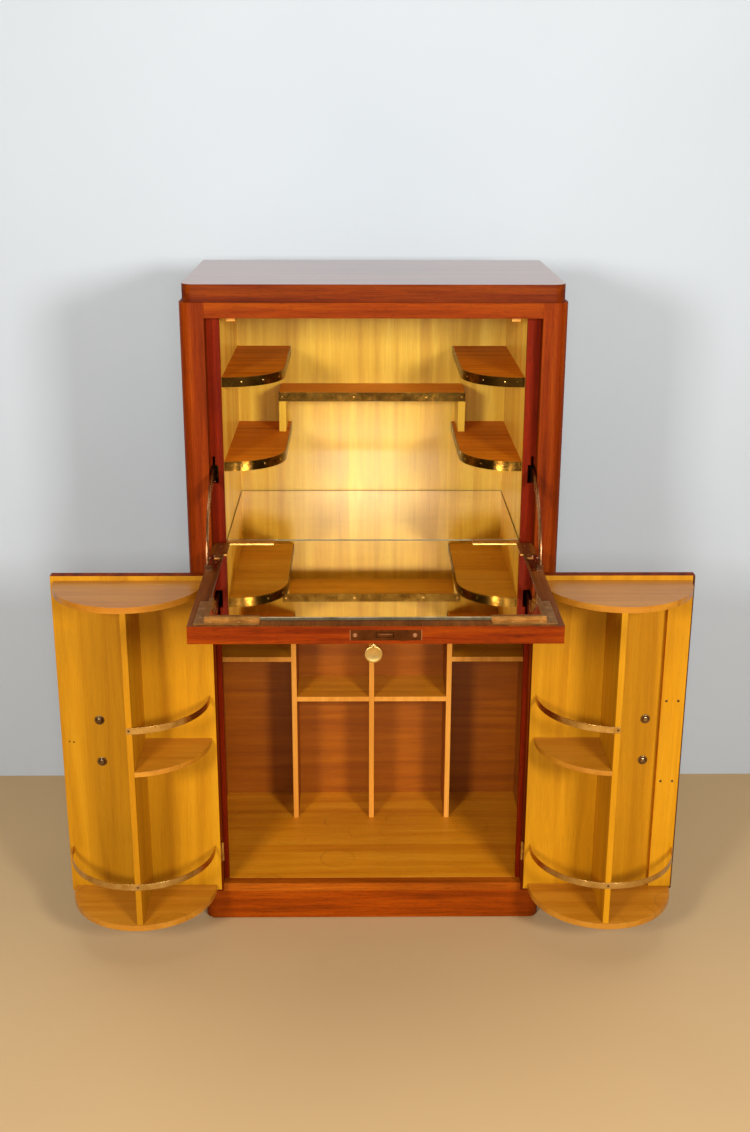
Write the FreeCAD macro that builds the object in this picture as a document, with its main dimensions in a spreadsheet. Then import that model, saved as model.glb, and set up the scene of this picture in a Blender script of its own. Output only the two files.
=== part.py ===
import FreeCAD, Part
import os
import re

# Bar cabinet with a fall-front flap and two rack doors, shown fully open.
# Lengths in millimetres. +Z up, front towards -Y, origin on the floor in the middle of the carcass.

doc = FreeCAD.newDocument("BarCabinet")
sheet = doc.addObject("Spreadsheet::Sheet", "Sizes")

# Driving sizes, each one a cell of the sheet
sizes = {
    # Overall
    "width": 700,  # width over the corner posts
    "depth": 404,  # depth from post face to back panel
    # Plinth and bottom
    "glide_height": 2,  # glide height
    "glide_radius": 12,  # glide radius
    "glide_inset": 22,  # glide centre from the plinth corner
    "plinth_height": 66,  # plinth height
    "plinth_inset": 6,  # plinth set back from the posts
    "plinth_board": 28,  # plinth front board thickness
    "plinth_side": 18,  # plinth side and back board thickness
    "plinth_rail_width": 28,  # plinth centre rail width
    "plinth_radius": 24,  # plinth front corner radius
    "bottom_thick": 18,  # bottom board thickness
    "lipping_depth": 22,  # lipping on the bottom board
    # Upright pieces
    "post_width": 46,  # corner post width
    "post_depth": 44,  # corner post depth
    "post_radius": 22,  # corner post outer radius
    "side_thick": 19,  # side board thickness
    "back_thick": 8,  # back panel thickness
    # Levels between the two compartments
    "lower_opening": 673.5,  # clear height of the lower compartment
    "thin_ceiling": 4,  # lower ceiling thickness
    "rail_height": 16.5,  # middle rail height
    "flap_gap": 1.4,  # gap under the open flap
    "flap_thick": 30,  # flap thickness
    "upper_floor_thick": 14,  # upper floor thickness
    "mirror_thick": 4,  # upper floor mirror thickness
    "bearer_width": 20,  # bearer width
    # Upper compartment and slab
    "upper_opening": 426.6,  # clear height of the upper compartment
    "top_rail_height": 27.5,  # top rail height
    "upper_ceiling_thick": 18,  # upper ceiling thickness
    "slab_thick": 32,  # slab thickness
    "slab_inset": 5,  # slab set back from the posts
    "slab_radius": 24,  # slab front corner radius
    # Flap pivot, strips and linings
    "flap_side_gap": 1.5,  # gap between flap and post
    "flap_edge_gap": 2.6,  # gap over the closed flap
    "strip_gap": 2.5,  # gap between closed flap and stop strip
    "strip_thick": 8,  # stop strip thickness
    "strip_width": 24,  # flap stop strip width
    "lining_thick": 8,  # lining thickness
    "pivot_radius": 4,  # flap pivot pin radius
    "pivot_length": 15,  # flap pivot pin length
    "running_fit": 0.05,  # radial clearance of pins in bores
    "pivot_plate_thick": 1,  # pivot plate thickness
    "pivot_plate_width": 18,  # pivot plate width
    "pivot_plate_height": 24,  # pivot plate height
    # Quadrant stays, concentric with the flap pivot
    "stay_inner": 134,  # inner radius of the stays
    "stay_outer": 160,  # outer radius of the stays
    "stay_thick": 2.5,  # stay thickness
    "stay_edge_gap": 2.8,  # stay from the flap end
    "stay_tail": 5.5,  # tail of the stay behind the strip
    "hook_drop": 8,  # hook below the stay
    "hook_clear": 0.5,  # gap between hook and strip
    "foot_width": 12,  # stay foot width
    "foot_height": 10,  # stay foot height
    "stay_plate_width": 21,  # stay base plate width
    "stay_plate_length": 98,  # stay base plate length
    "stay_plate_thick": 2,  # stay base plate thickness
    "stay_plate_edge": 0.5,  # stay base plate from the flap end
    "stay_plate_lap": 5,  # stay base plate beyond the foot
    "slot_clear": 3,  # clearance of the stay slot
    "slot_neck_width": 5,  # width of the slot's upper neck
    "slot_neck_height": 17,  # height of the slot's upper neck
    # Flap mirror and its corner brackets
    "plate_thick": 6.5,  # flap mirror thickness
    "plate_side": 27.5,  # margin beside the flap mirror
    "plate_front": 26,  # margin before the flap mirror
    "plate_back": 3,  # flap mirror before the pivot
    "brass_thick": 1.5,  # brass sheet thickness
    "bracket_flange": 16,  # bracket flange width
    "bracket_lip": 6,  # bracket lip over the mirror
    "bracket_leg": 88,  # bracket leg length
    "bracket_screw": 2.4,  # bracket screw head radius
    "bracket_screw_height": 0.9,  # bracket screw head height
    "bracket_screw_end": 18,  # bracket screw from the bracket end
    # Lock, bolt and key
    "lock_x": 16,  # middle of the lock
    "face_length": 116,  # lock face plate length
    "face_height": 18,  # lock face plate height
    "face_thick": 2,  # lock face plate thickness
    "case_length": 100,  # lock case length
    "case_height": 14,  # lock case height
    "case_wall": 2,  # lock case wall
    "bolt_width": 28,  # lock bolt width
    "bolt_height": 8,  # lock bolt height
    "bolt_length": 24,  # lock bolt length
    "bolt_middle": 14.5,  # middle of the bolt
    "bolt_gap": 0.5,  # gap round the bolt
    "key_x": -3.5,  # key axis, sideways
    "key_set_back": 27,  # key axis from the flap's edge
    "key_radius": 2.5,  # key shank radius
    "key_room": 8,  # radius of the room round the key bit
    "bit_length": 7,  # key bit length
    "bit_thick": 2,  # key bit thickness
    "bit_height": 5,  # key bit height
    "bow_radius": 14.5,  # key bow radius
    "bow_thick": 2.5,  # key bow thickness
    "bow_drop": 29,  # key bow centre below the flap
    "escutcheon_radius": 12,  # escutcheon radius
    "key_hole_radius": 3.5,  # keyhole radius
    "strike_length": 60,  # strike plate length
    "strike_width": 16,  # strike plate width
    "strike_thick": 1.5,  # strike plate thickness
    "strike_room": 1,  # room round the thrown bolt
    "strike_depth": 14,  # depth of the strike pocket
    # Upper shelves
    "shelf_thick": 18,  # shelf thickness
    "shelf_width": 112,  # side shelf width
    "shelf_front": 3.5,  # shelf front behind the lining front
    "shelf_flat": 10,  # straight part of the shelf front
    "shelf_rise": 133.6,  # lower side shelves over the flap level
    "shelf_spacing": 160,  # spacing of the side shelves
    "middle_rise": 63,  # middle shelf over the lower side shelves
    "middle_lap": 22,  # middle shelf over the side shelves, sideways
    "middle_depth": 100,  # middle shelf depth
    "middle_wrap": 15,  # edging wrapped round the shelf ends
    "post_thick": 14,  # shelf post thickness
    "post_set_back": 2,  # shelf post behind the shelf edge
    "nail_inset": 14,  # edging nail from the lining
    "nail_radius": 1.6,  # edging nail radius
    "nail_height": 0.6,  # edging nail head height
    "stop_width": 16,  # flap stop block width
    "stop_depth": 11.5,  # flap stop block depth
    "stop_height": 10,  # flap stop block height
    "stop_inset": 13,  # flap stop block from the lining
    "stop_clear": 1.5,  # gap between stop block and closed flap
    # Lower cells and bays
    "divider_thick": 11,  # divider thickness
    "divider_spacing": 167.5,  # divider spacing
    "divider_set_back": 275,  # divider front behind the post face
    "cell_rise": 283,  # cell shelf over the floor
    "bay_rise": 376,  # bay shelves over the floor
    "door_strip_width": 9,  # door stop strip width
    "door_strip_depth": 12,  # door stop strip depth
    # Doors and hinges, doors open flat by half a turn
    "door_thick": 20,  # door thickness
    "door_side_gap": 1.5,  # gap between door and post
    "door_meeting": 1,  # half of the gap between the doors
    "door_low_gap": 2,  # gap under the door
    "door_high_gap": 2.5,  # gap over the door
    "door_strip_gap": 1,  # gap between closed door and stop strip
    "hinge_offset": 3.5,  # hinge axis before the post face
    "knuckle_radius": 3.2,  # hinge knuckle radius
    "hinge_height": 42,  # hinge height
    "hinge_leaf": 18,  # hinge leaf width
    "hinge_pin": 1.5,  # hinge pin radius
    "knuckle_gap": 0.2,  # gap between knuckles
    "hinge_inset": 54,  # hinges from the door ends
    # Door racks
    "rack_free": 8,  # rack from the door's free edge
    "rack_straight": 6,  # straight part of the rack ends
    "rack_thick": 12,  # rack end thickness
    "rack_high_gap": 9,  # upper rack end below the door top
    "rack_inset": 9.5,  # rack from the door's hinge edge
    "rack_divider_thick": 11,  # rack divider thickness
    "rack_divider_shift": 8,  # rack divider from the rack's middle
    "rack_shelf_rise": 328.5,  # quarter shelf over the door's lower edge
    "rack_shelf_thick": 10,  # quarter shelf thickness
    "rack_rail_height": 13,  # rack rail height
    "half_rail_rise": 89,  # half-round rail over the door's lower edge
    "quarter_rail_rise": 416,  # quarter rail over the door's lower edge
    "closing_width": 45,  # closing stile width
    "closing_edge": 5,  # closing stile from the door's free edge
    "closing_thick": 12,  # closing stile thickness
    "closing_gap": 0.5,  # closing stile from the rack ends
    "closing_screw": 3,  # closing stile screw radius
    # Bar handles on the outer faces
    "handle_inset": 76,  # handle from the door's free edge
    "handle_rise": 289,  # lower handle bolt over the door's lower edge
    "handle_spacing": 88.5,  # spacing of the handle bolts
    "handle_reach": 26,  # handle bar axis from the door
    "handle_radius": 5,  # handle bar radius
    "handle_post": 4,  # handle post radius
    "handle_overhang": 12,  # handle bar beyond its posts
    "nut_radius": 9.5,  # domed nut radius
    "nut_height": 5,  # domed nut height
}

# Sizes and levels worked out from them by the sheet itself
formulas = {
    # Overall
    "half_width": "width / 2",  # half of the width
    "front": "-depth / 2",  # plane of the post faces
    "back": "depth / 2",  # rear plane
    # Plinth and bottom
    "plinth_top": "glide_height + plinth_height",  # level of the plinth top
    "floor_top": "plinth_top + bottom_thick",  # level of the lower floor
    # Upright pieces
    "reveal": "half_width - post_width",  # inner face of the corner posts
    "side_inner": "half_width - side_thick",  # inner face of the sides
    "post_back": "front + post_depth",  # rear face of the corner posts
    "back_inner": "back - back_thick",  # inner face of the back panel
    # Levels between the two compartments
    "lower_top": "floor_top + lower_opening",  # underside of the thin ceiling
    "rail_low": "lower_top + thin_ceiling",  # underside of the middle rail
    "rail_top": "rail_low + rail_height",  # top of the middle rail
    "flap_low": "rail_top + flap_gap",  # underside of the open flap
    "flap_top": "flap_low + flap_thick",  # upper face of the open flap
    "mirror_low": "flap_top - mirror_thick",  # underside of the floor mirror
    "upper_floor_low": "mirror_low - upper_floor_thick",  # underside of the upper floor
    # Upper compartment and slab
    "opening_top": "flap_top + upper_opening",  # underside of the top rail
    "slab_low": "opening_top + top_rail_height",  # underside of the slab
    "ceiling_low": "slab_low - upper_ceiling_thick",  # underside of the upper ceiling
    # Flap pivot, strips and linings
    "pivot_y": "front + flap_thick / 2",  # flap pivot, depth
    "pivot_z": "flap_low + flap_thick / 2",  # flap pivot, level
    "flap_half": "reveal - flap_side_gap",  # half width of the flap
    "flap_length": "opening_top - flap_edge_gap - pivot_z",  # flap from pivot to free edge
    "flap_edge": "pivot_y - flap_length",  # free edge of the open flap
    "strip_front": "front + flap_thick + strip_gap",  # front of the flap stop strips
    "lining_front": "strip_front + strip_thick",  # front of the linings
    "lining_inner": "reveal - strip_width",  # inner face of the linings
    "lining_outer": "lining_inner + lining_thick",  # outer face of the linings
    # Quadrant stays, concentric with the flap pivot
    "stay_x": "flap_half - stay_edge_gap",  # outer face of the stay
    # Flap mirror and its corner brackets
    "plate_half": "flap_half - plate_side",  # half width of the flap mirror
    "plate_low_y": "flap_edge + plate_front",  # front edge of the flap mirror
    "plate_high_y": "pivot_y - plate_back",  # rear edge of the flap mirror
    "plate_top": "flap_top + plate_thick",  # upper face of the flap mirror
    # Lock, bolt and key
    "key_y": "flap_edge + key_set_back",  # key axis, depth
    "case_front": "flap_edge + face_thick",  # front of the lock case
    "case_depth": "key_set_back + key_room + case_wall - face_thick",  # lock case depth
    # Upper shelves
    "shelf_radius": "shelf_width - shelf_flat",  # shelf front corner radius
    "shelf_low": "flap_top + shelf_rise",  # underside of the lower side shelves
    "shelf_high": "shelf_low + shelf_spacing",  # underside of the upper side shelves
    "middle_low": "shelf_low + shelf_thick + middle_rise",  # underside of the middle shelf
    "shelf_inner": "lining_inner - shelf_width",  # inner edge of the side shelves
    "middle_half": "shelf_inner + middle_lap",  # half width of the middle shelf
    "shelf_y": "lining_front + shelf_front",  # front of the side shelves
    # Lower cells and bays
    "cell_shelf_low": "floor_top + cell_rise",  # underside of the cell shelf
    "bay_shelf_low": "floor_top + bay_rise",  # underside of the bay shelves
    "cell_front": "front + divider_set_back",  # front of the dividers
    # Doors and hinges, doors open flat by half a turn
    "axis_y": "front - hinge_offset",  # door hinge axis, depth
    "door_back": "front - 2 * hinge_offset",  # outer face of the open door
    "door_front": "door_back - door_thick",  # inner face of the open door
    "door_near": "reveal + door_side_gap",  # hinge edge of the open door
    "door_far": "2 * reveal - door_meeting",  # free edge of the open door
    "door_low": "floor_top + door_low_gap",  # underside of the doors
    "door_high": "rail_low - door_high_gap",  # top of the doors
    "hinge_low": "door_low + hinge_inset",  # underside of the lower hinges
    "hinge_high": "door_high - hinge_inset - hinge_height",  # underside of the upper hinges
    # Door racks
    "rack_shelf_low": "door_low + rack_shelf_rise",  # underside of the quarter shelf
    "rack_rail_low": "door_low + half_rail_rise",  # underside of the half-round rail
    "rack_rail_high": "door_low + quarter_rail_rise",  # underside of the quarter rail
    "rack_radius": "(door_far - door_near - rack_inset - rack_free) / 2",  # rack outer radius
    "rack_x": "door_near + rack_inset + rack_radius",  # middle of the rack
    "rack_y": "door_front - rack_straight",  # centre of the rack's round
    "rack_low_top": "door_low + rack_thick",  # top of the lower rack end
    "rack_high_low": "door_high - rack_high_gap - rack_thick",  # underside of the upper rack end
    # Bar handles on the outer faces
    "handle_x": "door_far - handle_inset",  # handle from the middle plane, door open
    "handle_low": "door_low + handle_rise",  # lower handle bolt
    "handle_high": "handle_low + handle_spacing",  # upper handle bolt
}

sheet_line = 0
cells = dict(sizes)
cells.update((alias, "=" + rule) for alias, rule in formulas.items())
for alias, text in cells.items():
    sheet_line += 1
    sheet.set("A" + str(sheet_line), alias)
    sheet.set("B" + str(sheet_line), str(text))
    sheet.setAlias("B" + str(sheet_line), alias)
doc.recompute()


def linked(item, prop, text):
    """Bind a property to an expression written with the sheet's own words."""
    item.setExpression(prop, re.sub(r"[A-Za-z_]\w*", lambda word: "Sizes." + word.group(0), text))


def placed(item, x, y, z):
    linked(item, "Placement.Base.x", x)
    linked(item, "Placement.Base.y", y)
    linked(item, "Placement.Base.z", z)
    return item


def board(label, left, right, near, far, low, high):
    """A plain board between six planes."""
    item = doc.addObject("Part::Box", label)
    linked(item, "Length", f"({right}) - ({left})")
    linked(item, "Width", f"({far}) - ({near})")
    linked(item, "Height", f"({high}) - ({low})")
    return placed(item, left, near, low)


axis_turn = {
    "up": FreeCAD.Rotation(0, 0, 0),
    "right": FreeCAD.Rotation(FreeCAD.Vector(0, 1, 0), 90),
    "back": FreeCAD.Rotation(FreeCAD.Vector(1, 0, 0), -90),
}


def rod(label, radius, length, x, y, z, way="up", angle=None):
    """A round piece that starts at the given point and runs up, right or back."""
    item = doc.addObject("Part::Cylinder", label)
    item.Placement = FreeCAD.Placement(FreeCAD.Vector(), axis_turn[way])
    linked(item, "Radius", radius)
    linked(item, "Height", length)
    if angle:
        item.Angle = angle
    return placed(item, x, y, z)


def cut(label, base, tool):
    item = doc.addObject("Part::Cut", label)
    item.Base = base
    item.Tool = tool
    return item


def common(label, base, tool):
    item = doc.addObject("Part::Common", label)
    item.Base = base
    item.Tool = tool
    return item


def joined(label, *items):
    item = doc.addObject("Part::MultiFuse", label)
    item.Shapes = list(items)
    item.Refine = True
    return item


def together(label, *items):
    """Separate solids that share one node."""
    item = doc.addObject("Part::Compound", label)
    item.Links = list(items)
    return item


def mirrored(label, source):
    """The same piece on the other side of the middle plane."""
    item = doc.addObject("Part::Mirroring", label)
    item.Source = source
    item.Normal = FreeCAD.Vector(1, 0, 0)
    return item


def rounded_board(label, left, right, near, far, low, high, radius, corners):
    """A board with rounded upright edges; corners names them by side and end, such as left_near."""
    body = doc.addObject("PartDesign::Body", label)
    block = body.newObject("PartDesign::AdditiveBox", label + "_block")
    linked(block, "Length", f"({right}) - ({left})")
    linked(block, "Width", f"({far}) - ({near})")
    linked(block, "Height", f"({high}) - ({low})")
    placed(body, left, near, low)
    doc.recompute()
    ends = block.Shape.BoundBox
    picked = []
    for number, edge in enumerate(block.Shape.Edges, start=1):
        middle = edge.BoundBox.Center
        upright = edge.BoundBox.ZLength > ends.ZLength / 2
        side = "left" if middle.x < ends.Center.x else "right"
        end = "near" if middle.y < ends.Center.y else "far"
        if upright and side + "_" + end in corners:
            picked.append("Edge" + str(number))
    rounding = body.newObject("PartDesign::Fillet", label + "_rounding")
    rounding.Base = (block, picked)
    linked(rounding, "Radius", radius)
    body.Tip = rounding
    return body


# Plinth
glide_left = [
    rod("glide_" + end, "glide_radius", "glide_height", "plinth_inset - half_width + glide_inset", y, "0")
    for end, y in (("near", "front + plinth_inset + glide_inset"), ("far", "back_inner - glide_inset"))
]
glide_right = [mirrored(glide.Label + "_right", glide) for glide in glide_left]
glide_centre = rod("glide_centre", "glide_radius", "glide_height", "0", "0", "0")
together("glides", *glide_left, *glide_right, glide_centre)

plinth_half = "(half_width - plinth_inset)"
plinth_near = "(front + plinth_inset)"
plinth_mid = "(front + plinth_inset + plinth_board)"
rounded_board(
    "plinth_front", "-" + plinth_half, plinth_half, plinth_near, plinth_mid, "glide_height", "plinth_top",
    "plinth_radius", ["left_near", "right_near"],
)
plinth_left = board(
    "plinth_left", "-" + plinth_half, f"plinth_side - {plinth_half}", plinth_mid, "back_inner",
    "glide_height", "plinth_top",
)
plinth_back = board(
    "plinth_back", f"plinth_side - {plinth_half}", f"{plinth_half} - plinth_side", "back_inner - plinth_side",
    "back_inner", "glide_height", "plinth_top",
)
plinth_rail = board(
    "plinth_rail", "-plinth_rail_width / 2", "plinth_rail_width / 2", plinth_mid, "back_inner - plinth_side",
    "glide_height", "plinth_top",
)
together("plinth_sides", plinth_left, mirrored("plinth_right", plinth_left), plinth_back, plinth_rail)

# Bottom board and its lipping
joined(
    "bottom_board",
    board("bottom_nose", "-reveal", "reveal", "front + lipping_depth", "post_back", "plinth_top", "floor_top"),
    board("bottom_wide", "-side_inner", "side_inner", "post_back", "back_inner", "plinth_top", "floor_top"),
)
board("floor_lipping", "-reveal", "reveal", "front", "front + lipping_depth", "plinth_top", "floor_top")

# Corner posts with hinge recesses, sides and back
post_block = rounded_board(
    "post_block", "-half_width", "-reveal", "front", "post_back", "plinth_top", "slab_low",
    "post_radius", ["left_near"],
)
leaf_recesses = together("leaf_recesses", *[
    board("leaf_recess_" + end, "-reveal - brass_thick", "-reveal", "front", "front + hinge_leaf", low,
          low + " + hinge_height")
    for end, low in (("low", "hinge_low"), ("high", "hinge_high"))
])
left_post = cut("left_post", post_block, leaf_recesses)
mirrored("right_post", left_post)
left_side = board(
    "left_side", "-half_width", "-side_inner", "post_back", "back_inner", "plinth_top", "slab_low",
)
mirrored("right_side", left_side)
board("back_panel", "-half_width", "half_width", "back_inner", "back", "plinth_top", "slab_low")

# Slab, upper ceiling and top rail
rounded_board(
    "top_panel", "slab_inset - half_width", "half_width - slab_inset", "front + slab_inset", "back",
    "slab_low", "slab_low + slab_thick", "slab_radius", ["left_near", "right_near"],
)
board("upper_ceiling", "-side_inner", "side_inner", "post_back", "back_inner", "ceiling_low", "slab_low")
bolt_low_x = "(bolt_middle - bolt_width / 2)"
bolt_high_x = "(bolt_middle + bolt_width / 2)"
pocket_span = [
    f"{bolt_low_x} - strike_room", f"{bolt_high_x} + strike_room",
    "pivot_y - bolt_height / 2 - strike_room", "pivot_y + bolt_height / 2 + strike_room",
]
strike_span = [
    "lock_x - strike_length / 2", "lock_x + strike_length / 2",
    "pivot_y - strike_width / 2", "pivot_y + strike_width / 2", "opening_top", "opening_top + strike_thick",
]
top_rail_block = board("top_rail_block", "-reveal", "reveal", "front", "post_back", "opening_top", "slab_low")
strike_room_cut = together(
    "strike_room_cut",
    board("strike_pocket", *pocket_span, "opening_top", "opening_top + strike_depth"),
    board("strike_recess", *strike_span),
)
cut("top_rail", cut("top_rail_pocketed", top_rail_block, strike_room_cut.Links[0]), strike_room_cut.Links[1])
cut("strike_plate", board("strike_blank", *strike_span), board(
    "strike_window", *pocket_span, "opening_top", "opening_top + strike_thick",
))

# Middle rail, thin ceiling, bearers, upper floor and its mirror
board("middle_rail", "-reveal", "reveal", "front", "post_back", "rail_low", "rail_top")
board("lower_ceiling", "-side_inner", "side_inner", "post_back", "back_inner", "lower_top", "rail_low")
side_bearer = board(
    "bearer_left", "-lining_outer", "bearer_width - lining_outer", "post_back", "back_inner", "rail_low",
    "upper_floor_low",
)
middle_bearer = board(
    "bearer_middle", "-bearer_width / 2", "bearer_width / 2", "post_back", "back_inner", "rail_low",
    "upper_floor_low",
)
together("floor_bearers", side_bearer, middle_bearer, mirrored("bearer_right", side_bearer))
board("upper_floor", "-lining_outer", "lining_outer", "lining_front", "back_inner", "upper_floor_low", "mirror_low")
board("floor_mirror", "-lining_inner", "lining_inner", "lining_front", "back_inner", "mirror_low", "flap_top")

# Linings
left_lining = joined(
    "left_lining",
    board("lining_edge", "-lining_outer", "-lining_inner", "lining_front", "post_back", "mirror_low", "opening_top"),
    board("lining_board", "-lining_outer", "-lining_inner", "post_back", "back_inner", "mirror_low", "ceiling_low"),
)
mirrored("right_lining", left_lining)

# Stop strips; the flap strips have a slot for the quadrant stays
slot_low = "(pivot_z + stay_inner - 2 * slot_clear)"
slot_high = "(pivot_z + stay_outer + slot_clear)"
flap_strip = board(
    "flap_strip", "-reveal", "-lining_inner", "strip_front", "lining_front", "rail_top", "opening_top",
)
slot_wide = board(
    "slot_wide", "-reveal", "foot_width + bolt_gap - flap_half",
    "strip_front", "lining_front", slot_low, slot_high,
)
stay_middle = "(stay_x - stay_thick / 2)"
slot_neck = board(
    "slot_neck", f"-{stay_middle} - slot_neck_width / 2", f"-{stay_middle} + slot_neck_width / 2",
    "strip_front", "lining_front", slot_high, f"{slot_high} + slot_neck_height",
)
left_flap_strip = cut("left_flap_strip", cut("flap_strip_slotted", flap_strip, slot_wide), slot_neck)
left_door_strip = board(
    "left_door_strip", "-reveal", "-reveal + door_strip_width", "front + door_thick + door_strip_gap",
    "front + door_thick + door_strip_gap + door_strip_depth", "floor_top", "rail_low",
)
together(
    "stop_strips", left_flap_strip, mirrored("right_flap_strip", left_flap_strip),
    left_door_strip, mirrored("right_door_strip", left_door_strip),
)
stop_near = "(front + flap_thick + stop_clear)"
stop_block = board(
    "stop_left", "stop_inset - lining_inner", "stop_inset + stop_width - lining_inner", stop_near,
    stop_near + " + stop_depth", "opening_top - stop_height", "opening_top",
)
together("flap_stops", stop_block, mirrored("stop_right", stop_block))

# Side shelves: wooden board inside a brass edging that runs along the front and the inner edge
shelf_boards = {}
edging = []
for level, low in (("lower", "shelf_low"), ("upper", "shelf_high")):
    high = low + " + shelf_thick"
    outer = rounded_board(
        level + "_shelf_outer", "-lining_inner", "-shelf_inner", "shelf_y", "back_inner", low, high,
        "shelf_radius", ["right_near"],
    )
    inner = rounded_board(
        f"left_{level}_shelf", "-lining_inner", "-shelf_inner - brass_thick", "shelf_y + brass_thick",
        "back_inner", low, high, "shelf_radius - brass_thick", ["right_near"],
    )
    mirrored(f"right_{level}_shelf", inner)
    band = cut(level + "_band_left", outer, inner)
    nail = rod(
        level + "_nail_left", "nail_radius", "nail_height", "nail_inset - lining_inner",
        "shelf_y - nail_height", low + " + shelf_thick / 2", "back",
    )
    edging += [band, mirrored(level + "_band_right", band), nail, mirrored(level + "_nail_right", nail)]

# Middle shelf on two posts, its edging wraps round the ends
middle_high = "middle_low + shelf_thick"
middle_near = "(back_inner - middle_depth)"
middle_blank = board(
    "middle_blank", "-middle_half", "middle_half", middle_near, "back_inner", "middle_low", middle_high,
)
wrap_outer = board(
    "wrap_outer", "-middle_half", "middle_half", middle_near, middle_near + " + middle_wrap", "middle_low",
    middle_high,
)
wrap_inner = board(
    "wrap_inner", "brass_thick - middle_half", "middle_half - brass_thick", middle_near + " + brass_thick",
    middle_near + " + middle_wrap", "middle_low", middle_high,
)
middle_band = cut("middle_band", wrap_outer, wrap_inner)
cut("middle_shelf", middle_blank, middle_band)
middle_nails = [
    rod("middle_nail_" + side, "nail_radius", "nail_height", x, middle_near + " - nail_height",
        "middle_low + shelf_thick / 2", "back")
    for side, x in (("left", "middle_wrap - middle_half"), ("right", "middle_half - middle_wrap"))
]
together("shelf_edging", *edging, middle_band, *middle_nails)
left_shelf_post = board(
    "left_shelf_post", "-middle_half", "post_thick - middle_half", middle_near + " + post_set_back",
    "back_inner", "shelf_low + shelf_thick", "middle_low",
)
together("shelf_posts", left_shelf_post, mirrored("right_shelf_post", left_shelf_post))

# Lower cells and bays
half_divider = "divider_thick / 2"
left_divider = board(
    "left_divider", f"-divider_spacing - {half_divider}", f"{half_divider} - divider_spacing", "cell_front",
    "back_inner", "floor_top", "lower_top",
)
centre_divider = board(
    "centre_divider", "-" + half_divider, half_divider, "cell_front", "back_inner", "floor_top", "lower_top",
)
together("cell_dividers", left_divider, centre_divider, mirrored("right_divider", left_divider))
left_cell_shelf = board(
    "left_cell_shelf", f"{half_divider} - divider_spacing", "-" + half_divider, "cell_front", "back_inner",
    "cell_shelf_low", "cell_shelf_low + divider_thick",
)
together("cell_shelf", left_cell_shelf, mirrored("right_cell_shelf", left_cell_shelf))
left_bay_shelf = board(
    "left_bay_shelf", "-side_inner", f"-divider_spacing - {half_divider}", "cell_front", "back_inner",
    "bay_shelf_low", "bay_shelf_low + divider_thick",
)
together("bay_shelves", left_bay_shelf, mirrored("right_bay_shelf", left_bay_shelf))

# Flap pivots: plate on the post with a pin into the flap's end
pivot_plate = board(
    "pivot_plate", "-reveal", "pivot_plate_thick - reveal", "pivot_y - pivot_plate_width / 2",
    "pivot_y + pivot_plate_width / 2", "pivot_z - pivot_plate_height / 2", "pivot_z + pivot_plate_height / 2",
)
pivot_pin = rod("pivot_pin", "pivot_radius", "pivot_length", "-reveal", "pivot_y", "pivot_z", "right")
left_pivot = joined("left_pivot", pivot_plate, pivot_pin)
together("flap_pivots", left_pivot, mirrored("right_pivot", left_pivot))

# Hinges; carcass half with pin and end knuckles, door half with the middle knuckle
third = "(hinge_height / 3)"


def hinge_halves(name, low):
    """Both halves of one left-hand butt hinge that starts at a level."""
    axis = ("-reveal", "axis_y")
    pin = rod(name + "_pin", "hinge_pin", "hinge_height", *axis, low)
    leaf = board(name + "_leaf", "-reveal - brass_thick", "-reveal", "front", "front + hinge_leaf", low,
                 low + " + hinge_height")
    solids = [pin, leaf]
    for end, start in (("low", low), ("high", f"{low} + 2 * {third}")):
        solids.append(rod(f"{name}_knuckle_{end}", "knuckle_radius", third, *axis, start))
        solids.append(board(f"{name}_tab_{end}", "-reveal - brass_thick", "-reveal", "axis_y", "front", start,
                            f"{start} + {third}"))
    fixed = joined(name + "_fixed", *solids)
    start = f"{low} + {third} + knuckle_gap"
    stop = f"{low} + 2 * {third} - knuckle_gap"
    moving_leaf = board(name + "_moving_leaf", "-door_near - brass_thick", "-door_near",
                        "door_back - hinge_leaf", "door_back", low, low + " + hinge_height")
    moving_tab = board(name + "_moving_tab", "-door_near - brass_thick", "-door_near", "door_back", "axis_y",
                       start, stop)
    moving_knuckle = rod(name + "_moving_knuckle", "knuckle_radius", f"{third} - 2 * knuckle_gap", *axis, start)
    solid = joined(name + "_moving_solid", moving_leaf, moving_tab, moving_knuckle)
    bore = rod(name + "_bore", "hinge_pin + running_fit", third, *axis, f"{low} + {third}")
    return fixed, cut(name + "_moving", solid, bore)


low_fixed, low_moving = hinge_halves("low_hinge", "hinge_low")
high_fixed, high_moving = hinge_halves("high_hinge", "hinge_high")
together(
    "carcass_hinges", low_fixed, high_fixed, mirrored("low_hinge_right", low_fixed),
    mirrored("high_hinge_right", high_fixed),
)
left_door_hinges = together("left_door_hinges", low_moving, high_moving)
mirrored("right_door_hinges", left_door_hinges)

# Door panel with recesses for the hinge leaves and bores for the handle bolts
door_blank = board("door_blank", "-door_far", "-door_near", "door_front", "door_back", "door_low", "door_high")
door_recesses = together("door_recesses", *[
    board("door_recess_" + end, "-door_near - brass_thick", "-door_near", "door_back - hinge_leaf", "door_back",
          low, low + " + hinge_height")
    for end, low in (("low", "hinge_low"), ("high", "hinge_high"))
])
left_door = cut("left_door_panel", door_blank, door_recesses)
mirrored("right_door_panel", left_door)


def rack_outline(name, radius, low, thick):
    """A D-shaped disc on the door's inner face, its flat side on the door."""
    disc = rod(name + "_disc", radius, thick, "-rack_x", "rack_y", low, angle=180)
    disc.Placement.Rotation = FreeCAD.Rotation(FreeCAD.Vector(0, 0, 1), 180)
    strap = board(name + "_strap", f"-rack_x - ({radius})", f"({radius}) - rack_x", "rack_y", "door_front", low,
                  f"{low} + ({thick})")
    return joined(name, disc, strap)


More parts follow.
